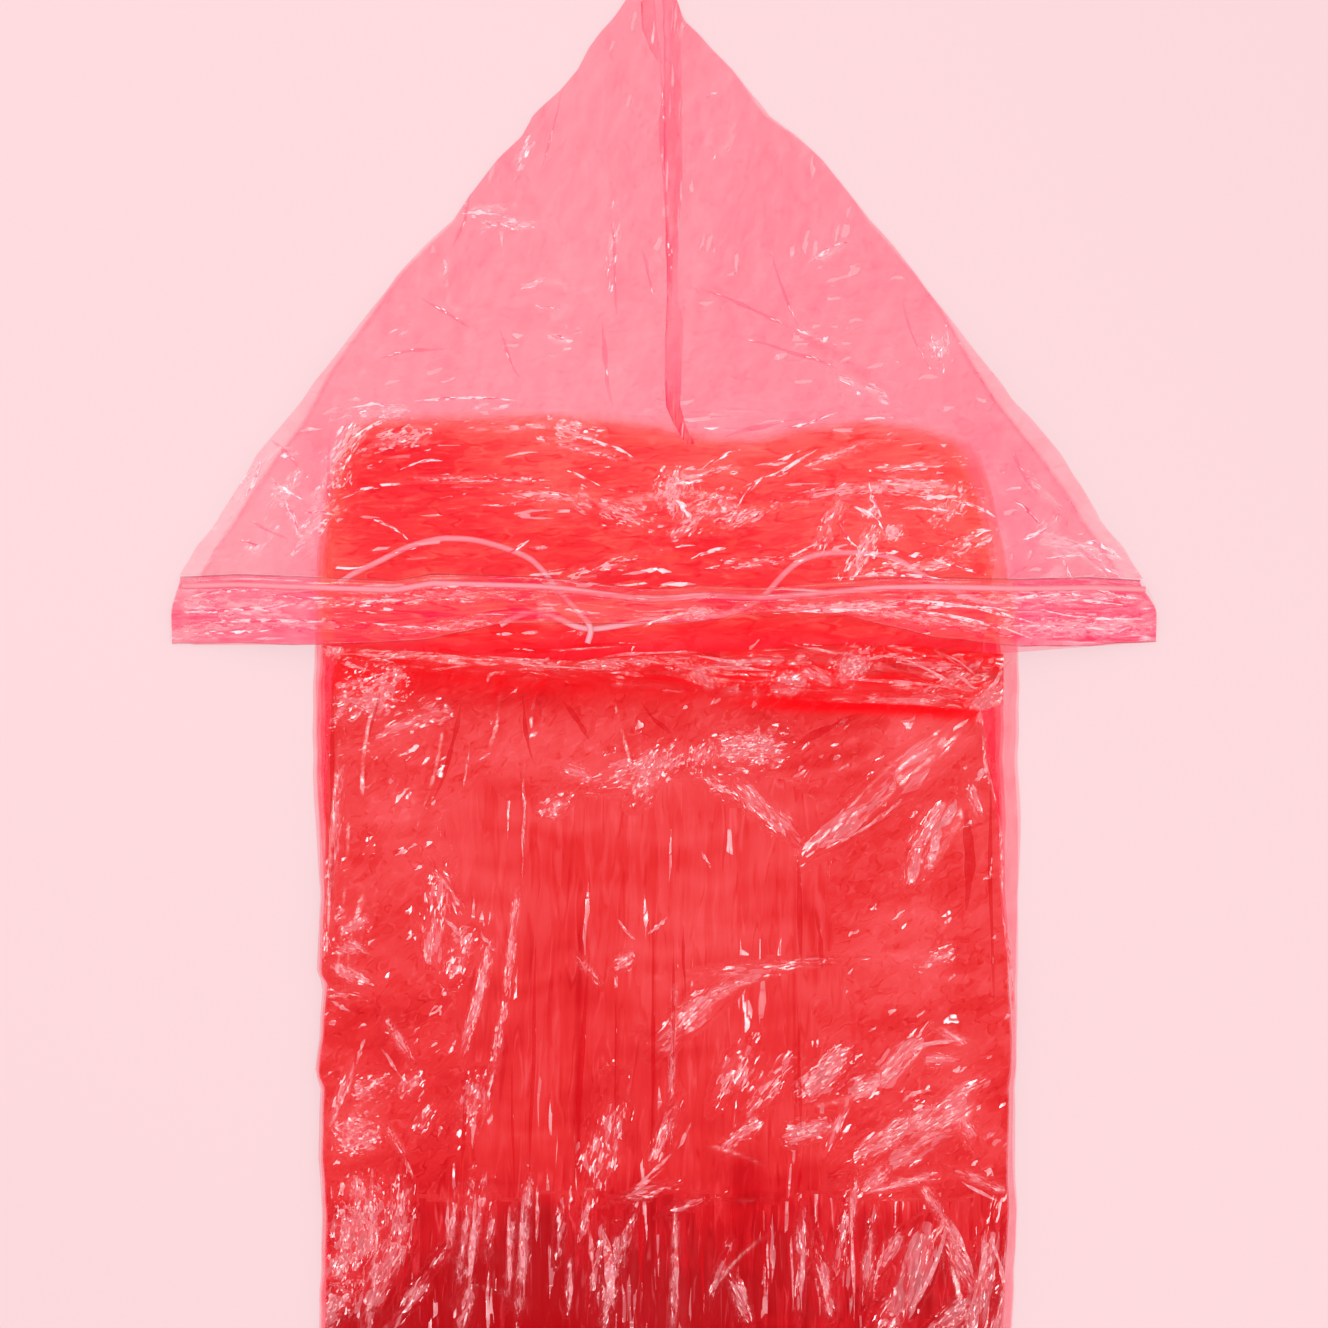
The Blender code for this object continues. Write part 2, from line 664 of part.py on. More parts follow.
def add_neck_seam():
    """The gathered neck seam: a band of small pleats that run together into a knot at the right."""
    rows = len(PLEAT_PROFILE)
    rings = []
    for number, place in enumerate(pleat_edges()):
        upper = between(NECK, "x", "hood_edge", place) - GAP
        lower = between(NECK, "x", "seam_edge", place)
        rise = between(NECK, "x", "rise", place) * (number % 2)
        slant = between(NECK, "x", "slant", place)
        low = []
        for row, share in enumerate(PLEAT_PROFILE):
            down = row / (rows - 1)
            x = place + slant * down
            y = upper + (lower - upper) * down
            knot = max(0.0, 1 - (Vector((x, y)) - KNOT).length / KNOT_RADIUS)
            knot *= KNOT_RISE * min(1.0, KNOT_SHARE * share)
            low.append((x, y, OVER_FRONT + rise * share + knot))
        rings.append(low + [(x, y, z + FILM) for x, y, z in reversed(low)])
    return add_loft("neck_seam", rings, FILM_RED, capped=True)


# ---------------------------------------------------------------- hood


def hood_back_low(x, y):
    """The lower side of the hood's under layer: on the body, and down to the surface around it."""
    return ramp(beyond_body(x, y), *HOOD_BACK_STEP, OVER_FRONT, 0.0)


def hood_front_low(x, y):
    """The lower side of the hood's upper layer, without its folds."""
    over_body = ramp(y, LOFT_END_Y, LOFT_FADE_Y, OVER_CORDS, OVER_HOOD_BACK)
    return ramp(beyond_body(x, y), *HOOD_FRONT_STEP, over_body, FILM + GAP)


def step_line(distance):
    """The line at one distance outside the body's upper part, from its left to its right."""
    rows = sorted((row for row in BODY_EDGE if row.y > STEP_LOW_Y), key=lambda row: row.y)
    left = [(row.left - distance, row.y) for row in rows if row.y < SHOULDER_Y]
    right = [(row.right + distance, row.y) for row in rows if row.y < SHOULDER_Y]
    top = SHOULDER_Y + distance
    corner_left = (rows[-1].left - distance, top)
    corner_right = (rows[-1].right + distance, top)
    return left + [corner_left, corner_right] + right[::-1]


def hood_outline():
    """The outline of the flattened hood, closed along the neck seam."""
    rows = [row for row in HOOD_EDGE if row.y > 0]
    right = [(row.right, row.y) for row in rows]
    left = [(row.left, row.y) for row in reversed(rows)]
    bottom = [(row.x, row.hood_edge) for row in NECK]
    return right + left + bottom


def seam_edge(side):
    """One long edge of the weld: side is -1 for the left one and 1 for the right one."""
    return [(row.middle + side * row.width / 2, row.y) for row in HOOD_SEAM]


def hood_plan():
    """One net of triangles that both layers of the hood and the weld on them share."""
    outline = hood_outline()
    lines = fold_lines(HOOD_FOLDS)
    lines += [step_line(distance) for distance in HOOD_BACK_STEP + HOOD_FRONT_STEP]
    left = seam_edge(-1)
    lines.append(left + seam_edge(1)[::-1] + left[:1])
    lines.append([(row.x, row.upper + GAP) for row in HEM])
    for y in (LOFT_END_Y, LOFT_FADE_Y):
        lines.append([(-LOFT_HALF_WIDTH, y), (LOFT_HALF_WIDTH, y)])
    return make_plan(outline, lines, fill_points(outline, HOOD_FOLDS))


def add_hood(plan):
    """The hood's under layer, its upper layer above the hem, and the weld on the upper layer."""

    def above_hem(point):
        return point[1] > between(HEM, "x", "upper", point[0]) + GAP

    weld = seam_edge(-1) + seam_edge(1)[::-1]

    def front_low(x, y):
        return hood_front_low(x, y) + folds_height(HOOD_FOLDS, (x, y))

    def weld_low(x, y):
        return front_low(x, y) + FILM + GAP

    wall_from_plan("hood_back", plan, hood_back_low, FILM_PINK)
    wall_from_plan("hood_front", part_of_plan(plan, above_hem), front_low, FILM_PINK)
    on_weld = part_of_plan(plan, lambda point: inside(point, weld))
    wall_from_plan("hood_seam", on_weld, weld_low, WELD_RED)


# ---------------------------------------------------------------- hem and string

HEM_STATION = 15.0  # longest distance between two sections of the hem
HEM_LEAST_STATION = 4.0  # shortest one
HEM_FLAT = 2 * FILM + GAP  # height of the hem where its two walls lie on each other
HEM_FULL = 2 * FILM + 2 * GAP + CORD  # height around the string
STRING_HALF = 2.6  # half of the width that is fully open around the string
HEM_SLOPE = 6.0  # width over which the hem rises to the string
HEM_FOOT_RISE = 0.6  # how much the hem is higher where that slope starts
HEM_LIP = 2.5  # least width of the flat lip below that slope


def hem_low(x):
    """The underside of the hem: over the string's free ends, and on the hood's wings."""
    lift = between(HEM, "x", "lift", x)
    outside = beyond_body(x, 0.0)
    return ramp(outside, *HEM_STEP, OVER_CORDS, FILM + GAP) + lift


def hem_stations():
    """Places along the hem: every row of its table, both ends of each step, and some between."""
    places = [row.x for row in HEM]
    left = between(BODY_EDGE, "y", "left", 0.0)
    right = between(BODY_EDGE, "y", "right", 0.0)
    for distance in HEM_STEP:
        places += [left - distance, right + distance]
    places.sort()
    stations = [places[0]]
    for place in places[1:]:
        if place - stations[-1] < HEM_LEAST_STATION and place != places[-1]:
            continue
        count = math.ceil((place - stations[-1]) / HEM_STATION)
        start = stations[-1]
        stations += [start + (place - start) * step / count for step in range(1, count + 1)]
    return stations


def hem_section(x):
    """Half widths and heights of the hem at one place: (y, height) from its lower edge up."""
    upper = between(HEM, "x", "upper", x)
    lower = between(HEM, "x", "lower", x)
    string = between(HEM, "x", "string", x)
    return [
        (lower, HEM_FLAT),
        (max(string - STRING_HALF - HEM_SLOPE, lower + HEM_LIP), HEM_FLAT + HEM_FOOT_RISE),
        (string - STRING_HALF, HEM_FULL),
        (string + STRING_HALF, HEM_FULL),
        (upper, HEM_FLAT),
    ]


def add_hood_hem():
    """The channel: a flattened tube with open ends, whose walls part round the string."""
    rings = []
    for x in hem_stations():
        low = hem_low(x)
        section = hem_section(x)
        outer = [(x, y, low) for y, _ in section]
        outer += [(x, y, low + height) for y, height in reversed(section)]
        hollow = list(section)
        hollow[0] = (section[0][0] + FILM, HEM_FLAT)
        hollow[-1] = (section[-1][0] - FILM, HEM_FLAT)
        inner = [(x, y, low + FILM) for y, _ in hollow]
        inner += [(x, y, low + height - FILM) for y, height in reversed(hollow)]
        rings.append((outer, inner))
    outward = [outer for outer, _ in rings]
    inward = [inner for _, inner in reversed(rings)]
    return add_loft("hood_hem", outward + inward, WELD_RED, capped=False)


def smooth_route(points, step):
    """Points about one step apart on a smooth curve through a route's own points."""
    ends = [points[0] * 2 - points[1]] + points + [points[-1] * 2 - points[-2]]
    dense = []
    for first, start, end, last in zip(ends, ends[1:], ends[2:], ends[3:]):
        for number in range(CURVE_STEPS):
            t = number / CURVE_STEPS
            dense.append(
                (
                    2 * start
                    + (end - first) * t
                    + (2 * first - 5 * start + 4 * end - last) * t * t
                    + (3 * start - first - 3 * end + last) * t * t * t
                )
                / 2
            )
    dense.append(points[-1])
    lengths = [0.0]
    for start, end in zip(dense, dense[1:]):
        lengths.append(lengths[-1] + (end - start).length)
    count = round(lengths[-1] / step)
    found = []
    index = 0
    for number in range(count + 1):
        wanted = lengths[-1] * number / count
        while index < len(lengths) - 2 and lengths[index + 1] < wanted:
            index += 1
        share = (wanted - lengths[index]) / (lengths[index + 1] - lengths[index])
        found.append(dense[index].lerp(dense[index + 1], share))
    return found


def add_tube(name, points):
    """A round string along points in millimetres."""
    curve = bpy.data.curves.new(name, "CURVE")
    curve.dimensions = "3D"
    curve.bevel_depth = CORD / 2 * MM
    curve.bevel_resolution = TUBE_SIDES
    curve.use_fill_caps = True
    spline = curve.splines.new("POLY")
    spline.points.add(len(points) - 1)
    for target, point in zip(spline.points, points):
        target.co = (*(point * MM), 1.0)
    curve.materials.append(material(*STRING_PINK))
    obj = bpy.data.objects.new(name, curve)
    bpy.context.scene.collection.objects.link(obj)
    return obj


def add_string():
    """The string: one stretch inside the hem, and the two free ends under the hood's front."""
    inside_level = FILM + GAP + CORD / 2
    channel = [
        Vector((x, between(HEM, "x", "string", x), hem_low(x) + inside_level))
        for x in hem_stations()[1:-1]
    ]
    add_tube("drawstring_channel", channel)
    for name, route in (("drawstring_left_end", LEFT_END), ("drawstring_right_end", RIGHT_END)):
        points = [Vector((row.x, row.y, CORD_LEVEL + row.lift)) for row in route]
        add_tube(name, smooth_route(points, ROUTE_STEP))


# ---------------------------------------------------------------- the whole poncho


def centre_footprint():
    """Moves everything together, so that the footprint's middle is the origin."""
    bpy.context.view_layer.update()
    corners = [
        obj.matrix_world @ Vector(corner) for obj in bpy.data.objects for corner in obj.bound_box
    ]
    xs = [corner.x for corner in corners]
    ys = [corner.y for corner in corners]
    middle = Vector(((min(xs) + max(xs)) / 2, (min(ys) + max(ys)) / 2, 0.0))
    for obj in bpy.data.objects:
        obj.location -= middle


def main():
    for obj in list(bpy.data.objects):
        bpy.data.objects.remove(obj, do_unlink=True)
    add_back_panel()
    add_folded_sides()
    add_front_panel()
    add_neck_seam()
    add_hood(hood_plan())
    add_hood_hem()
    add_string()
    centre_footprint()


main()
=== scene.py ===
"""The look of a rain poncho of thin red film, laid face up, folded lengthwise, its hood flat.

Lengths in the tables are millimetres in the drawing that the model was made from: the origin is
the middle of the hood's hem, x runs to the right and y up towards the hood's point. Heights are
above the surface. ORIGIN_X and ORIGIN_Y place that drawing in the frame.
"""
import math
from collections import namedtuple

import bpy
import numpy as np
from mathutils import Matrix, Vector


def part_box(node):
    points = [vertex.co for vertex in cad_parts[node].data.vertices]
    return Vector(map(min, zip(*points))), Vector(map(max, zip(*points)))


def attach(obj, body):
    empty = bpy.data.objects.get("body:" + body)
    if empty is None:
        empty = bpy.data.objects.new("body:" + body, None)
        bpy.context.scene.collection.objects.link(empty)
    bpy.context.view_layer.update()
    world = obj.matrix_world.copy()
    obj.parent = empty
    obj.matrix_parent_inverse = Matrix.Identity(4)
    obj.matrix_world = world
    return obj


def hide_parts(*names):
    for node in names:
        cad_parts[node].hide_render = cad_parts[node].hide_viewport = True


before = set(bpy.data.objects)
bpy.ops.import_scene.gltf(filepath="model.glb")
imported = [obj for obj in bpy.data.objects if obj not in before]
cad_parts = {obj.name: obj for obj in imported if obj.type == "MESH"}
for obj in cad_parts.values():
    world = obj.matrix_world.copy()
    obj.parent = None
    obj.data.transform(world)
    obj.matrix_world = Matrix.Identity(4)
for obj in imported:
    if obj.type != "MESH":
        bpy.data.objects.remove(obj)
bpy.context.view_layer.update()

MM = 0.001
HOOD_POINT_Y = 393.0
HOOD_LEFT_X = -296.4
hood_low, hood_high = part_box("hood_back")
ORIGIN_X = hood_low.x - HOOD_LEFT_X * MM
ORIGIN_Y = hood_high.y - HOOD_POINT_Y * MM
BODY = "root"

# ---------------------------------------------------------------- sizes, millimetres

SHOULDER_Y = 138.0
BODY_HEM_Y = -882.0
PHOTO_BOTTOM_Y = -413.0
PHOTO_WIDTH = 796.8  # how much of the surface the photo shows
PHOTO_MIDDLE_Y = -14.4
CORD = 3.6

# Levels of the films above the surface.
BACK_FILM = 0.35
SIDE_FILMS = (1.7, 2.3, 2.9, 3.5)
FRONT_FILM = 4.5
NECK_FILM = 5.9
HOOD_BACK_FILM = 5.8
CORD_LEVEL = 8.4
HOOD_FRONT_FILM = 7.1
OVER_CORDS = 11.0
ON_SURFACE = 1.7

HOOD_BACK_STEP = (2.0, 60.0)
HOOD_FRONT_STEP = (0.0, 84.0)
HEM_STEP = (2.0, 80.0)
LOFT_END_Y = 66.0
LOFT_FADE_Y = 98.0


def table(kind, rows):
    """A list of named rows."""
    return [kind(*row) for row in rows]


# ---------------------------------------------------------------- outlines, millimetres

EdgeRow = namedtuple("EdgeRow", "y left right")
HOOD_EDGE = table(EdgeRow, [
    (-3, -294, 293), (2, -296.4, 295.8), (16, -296.4, 295.8), (28, -293.4, 292),
    (40, -288.6, 284.4), (56, -279, 274), (72, -267, 261), (94, -253.2, 248.4),
    (112, -242.4, 236.4), (132, -225.6, 220), (144, -216.6, 208.8), (184, -186, 177.6),
    (220, -158.4, 150), (236, -143.4, 137.4), (252, -126, 123), (266, -117, 112.6),
    (288, -100.2, 95), (302, -85.2, 79.6), (314, -78.6, 63), (330, -62.4, 50.8),
    (342, -52, 41.2), (355, -45, 28), (371, -32.4, 13), (384, -22.2, 7.2),
    (HOOD_POINT_Y, -12, 1),
])

BODY_EDGE = table(EdgeRow, [
    (SHOULDER_Y, -186, 173), (128, -193, 183), (92, -203, 196),
    (48, -208, 205), (-6, -210, 213), (-78, -210.6, 212.2), (-110, -208.6, 213.8),
    (-153, -206.4, 212.6), (-200, -208.6, 212.4), (-206, -204.6, 211.8),
    (-240, -207, 211.8), (-260, -209.6, 211.4), (-268, -206.2, 210.6),
    (-312, -207.2, 210.4), (-343, -205, 211.8), (-413, -207, 208.8),
    (-486, -209.4, 211.6), (-560, -206.2, 212.8), (-606, -208.6, 210),
    (-690, -205.4, 212.4), (-770, -208.8, 209.8), (-840, -206, 211.6),
    (BODY_HEM_Y, -207.4, 210.6),
])

# How far the front film's own edges lie inside the folded body's outline.
FRONT_INSET = table(EdgeRow, [
    (SHOULDER_Y, 3, 3), (48, 5, 7), (-6, 12.6, 22), (-40, 11, 23),
    (-78, 9, 17.4), (-153, 3, 10.6), (-200, 3.4, 6), (-240, 2.6, 3.4),
    (-413, 4.2, 6.6), (-606, 3, 4), (BODY_HEM_Y, 3.6, 3),
])

NeckRow = namedtuple("NeckRow", "x hood_edge seam_edge rise")
NECK = table(NeckRow, [
    (-294, -3, -14, 0), (-206, -3, -16, 1.4), (-110, -9, -24, 2.6),
    (-60, -12, -28, 3), (-8, -9, -33, 3.4), (60, -5, -36, 3.8),
    (142, -2, -39, 4.2), (190, -7, -43, 3.6), (203, -8, -40, 1.2),
    (293, -1, -14, 0),
])

HemRow = namedtuple("HemRow", "x upper lower string lift")
HEM = table(HemRow, [
    (-296, 38, -2.4, 32, 0), (-256, 39.4, -1.8, 33, 0),
    (-222, 38.2, -3, 31.6, 0), (-161, 35.6, -1.8, 29.6, 0),
    (-138, 39.6, 0.6, 33.6, 0), (-96, 38.4, 9.6, 32.4, 0), (-76, 37.8, 9.8, 31.8, 0.6),
    (-60, 36.4, 10, 30.4, 4.1), (-38, 33.4, 10, 27.4, 4.3), (-14, 30.6, 9.4, 24.6, 0.8),
    (4, 30.8, 9.6, 24.8, 0), (22, 32.6, 11, 26.6, 0), (58, 31, 16, 25, 0),
    (98, 34.2, 17, 28.2, 0), (130, 37, 9, 31, 0), (160, 37.6, 1.6, 31.6, 0),
    (213, 36.4, -4, 30.4, 0), (256, 37.6, -3.4, 31.2, 0), (296, 36, -0.8, 30, 0),
])

SeamRow = namedtuple("SeamRow", "y middle width")
HOOD_SEAM = table(SeamRow, [
    (388, 2, 8), (376, 5, 11), (264, 5.4, 10.8), (250, 4.8, 7.6),
    (204, 5, 7), (190, 6.4, 11), (160, 5.4, 9.6), (140, 5.4, 8.6), (129, 9.2, 7),
    (117, 15.6, 5),
])
# The piece of the weld that is folded over to the left at the hood's point.
SEAM_FOLD = [
    SeamRow(388.0, -10.0, 9.0),
    SeamRow(366.0, -8.7, 8.6),
    SeamRow(354.0, -5.4, 6.5),
    SeamRow(345.0, -1.4, 2.0),
]

# ---------------------------------------------------------------- creases, millimetres

# A crease runs from one point to another. It rises gently over wide on its left and falls over
# narrow on its right; bow is how far its middle swings left, and tone how much it darkens.
Crease = namedtuple("Crease", "x0 y0 x1 y1 rise wide narrow bow tone")

BODY_CREASES = table(Crease, [
    # Puckers under the neck seam.
    (178, -50, 99, -122, 2.6, 10, 5, -6, 0.05), (26, -62, 76, -117, 2, 8, 4, 5, 0.05),
    (176, -96, 152, -140, 2.4, 8, 3, 0, 0.05), (196, -44, 206, -196, 1.8, 5, 3, 6, 0),
    (-127, -24, -150, -124, 1.4, 7, 5, 6, 0.28), (-168, -30, -178, -98, 1.4, 5, 3, -4, 0.1),
    (-96, -28, -104, -70, 1.4, 5, 4, 3, 0.2), (-70, -26, -76, -58, 1.4, 5, 4, -3, 0.3),
    (-30, -30, -14, -104, 1.6, 6, 4, 3, 0.16), (58, -46, 62, -84, 1.4, 6, 3, 0, 0.1),
    (130, -64, 66, -78, 1.6, 6, 4, 3, 0.35), (136, -50, 90, -60, 1.4, 6, 4, -3, 0.3),
    # Fine lengthwise creases, from the top down.
    (-86, -60, -86, -160, 0.3, 2, 1, 2, 0.16), (-80, -150, -81, -322, 0.5, 3, 1, 1, 0.34),
    (-68, -200, -69, -322, 0.3, 2, 1, 0, 0.2), (-47, -150, -50, -330, 0.6, 5, 2, -2, 0.4),
    (-29, -198, -28, -290, 0.3, 2, 1, 1, 0.22), (-6, -140, -7, -322, 0.5, 3, 1, 1, 0.3),
    (4, -96, 4, -328, 0.6, 3, 2, 1, 0.2), (11, -150, 12, -250, 0.4, 2, 1, 0, 0.26),
    (79, -126, 80, -322, 0.5, 4, 1, -1, 0.3), (82, -140, 93, -214, 0.5, 3, 2, 2, 0.24),
    (112, -190, 114, -290, 0.4, 3, 1, 1, 0.2), (119, -200, 120, -260, 0.3, 2, 1, -1, 0.16),
    (-100, -192, -118, -262, 0.6, 3, 2, 3, 0.1), (-91, -230, -100, -322, 0.5, 3, 2, -2, 0.12),
    (-191, -46, -199, -190, 1, 4, 2, -2, 0), (-186, -80, -197, -230, 0.7, 3, 2, 2, 0),
    # Creases along the left and right below the second fold of the pack.
    (-120, -332, -128, -400, 0.7, 3, 2, 1, 0.2), (-84, -336, -86, -410, 0.7, 3, 2, 1, 0.3),
    (-45, -338, -46, -592, 0.6, 3, 2, -2, 0.2), (7, -340, 8, -592, 0.8, 4, 2, 1, 0.2),
    (84, -340, 82, -592, 0.8, 4, 2, 2, 0.25), (121, -330, 119, -420, 0.7, 3, 2, 2, 0.2),
    (-85, -420, -84, -592, 0.8, 4, 2, 2, 0.2), (-85, -618, -86, -866, 0.8, 4, 2, -2, 0.2),
    (7, -618, 6, -866, 1, 5, 3, -2, 0.2), (84, -618, 84, -866, 1, 5, 2, 2, 0.2),
    # Crumples.
    (16, -230, 62, -200, 1.6, 7, 3, 6, 0), (84, -278, 142, -250, 1.8, 7, 4, -5, 0),
    (133, -318, 190, -276, 1.8, 8, 4, 5, 0), (-188, -210, -167, -134, 1.4, 6, 3, 4, 0),
    (-142, -190, -98, -138, 1.4, 7, 3, -4, 0), (128, -176, 176, -216, 1.2, 7, 3, 4, 0.05),
    (-190, -300, -150, -262, 1.5, 7, 3, 5, 0), (20, -300, 66, -316, 1.3, 6, 3, 3, 0),
    (-172, -346, -178, -412, 1.6, 6, 3, 4, 0), (-22, -346, -26, -404, 1.2, 5, 2, 2, 0.1),
    (146, -404, 172, -344, 2.4, 8, 3, 10, 0.1), (172, -344, 184, -420, 2, 6, 3, -8, 0.15),
    (186, -404, 198, -352, 2, 6, 3, 4, 0), (30, -386, 66, -352, 1.4, 6, 3, 4, 0),
    (-180, -520, -120, -466, 1.8, 8, 4, 6, 0.1), (110, -540, 172, -492, 2, 8, 4, -6, 0.1),
    (-30, -470, 66, -452, 1.6, 8, 4, 5, 0.1), (-160, -700, -112, -652, 1.8, 8, 4, -5, 0.1),
    (104, -690, 176, -724, 2, 8, 4, 6, 0.1), (-60, -770, -20, -708, 1.6, 8, 4, 4, 0.1),
    (-178, -800, -120, -838, 1.8, 8, 4, 5, 0.1), (116, -800, 168, -846, 1.8, 8, 4, -4, 0.1),
    # Creases across, where the pack was folded again.
    (-196, -318, -150, -306, 1, 5, 2, 2, 0.15), (-150, -322, 20, -338, 0.8, 5, 2, 3, 0.15),
    (16, -336, 90, -326, 0.8, 5, 2, -2, 0.1), (90, -326, 152, -318, 0.9, 4, 2, 1, 0.1),
    (170, -316, 204, -332, 1, 4, 2, 1, 0.1), (-196, -604, -52, -606, 1.2, 6, 4, -3, 0.2),
    (-44, -606, 200, -605, 1.2, 6, 4, 4, 0.2),
])

HOOD_CREASES = table(Crease, [
    (-146, 128, -176, 112, 1.4, 6, 3, 3, 0), (-120, 250, -82, 256, 1.4, 6, 3, 3, 0),
    (-82, 214, -54, 204, 1, 5, 3, 2, 0.1), (-74, 186, -50, 178, 1, 5, 3, -2, 0),
    (86, 226, 116, 244, 1.3, 6, 3, -2, 0), (152, 170, 182, 178, 1.1, 5, 3, 2, 0),
    (-30, 316, -22, 176, 0.9, 5, 3, -4, 0.1), (30, 214, 46, 176, 1.2, 6, 3, 3, 0.15),
    (70, 190, 132, 148, 1.2, 6, 4, 5, 0.25), (-150, 190, -104, 156, 1, 6, 4, -4, 0.1),
    (-104, 300, -74, 256, 0.8, 5, 3, 2, 0.15), (60, 300, 92, 252, 0.8, 5, 3, -2, 0.1),
    (-76, 128, -32, 118, 1.4, 5, 2, -5, 0), (80, 104, 118, 120, 1.2, 5, 3, -3, 0),
    (104, 118, 150, 122, 1, 5, 3, 2, 0), (-190, 95, -116, 97, 1, 4, 2, -2, 0),
    (-120, 97, -84, 95, 0.8, 4, 2, 1, 0), (-236, 92, -214, 60, 1.4, 5, 3, 3, 0.1),
    (-250, 84, -222, 116, 1.2, 5, 3, 3, 0.1), (208, 96, 246, 60, 1.2, 5, 3, 4, 0.15),
    (218, 62, 262, 52, 1.4, 5, 3, 4, 0.1), (-40, 74, 40, 82, 1.2, 5, 3, 5, 0),
])

# A patch where the film throws light back: narrow strips like shingles that run along its
# length, whose direction is angle, in degrees from x. strip is how wide they are.
Patch = namedtuple("Patch", "x y half_length half_width angle gloss strip")

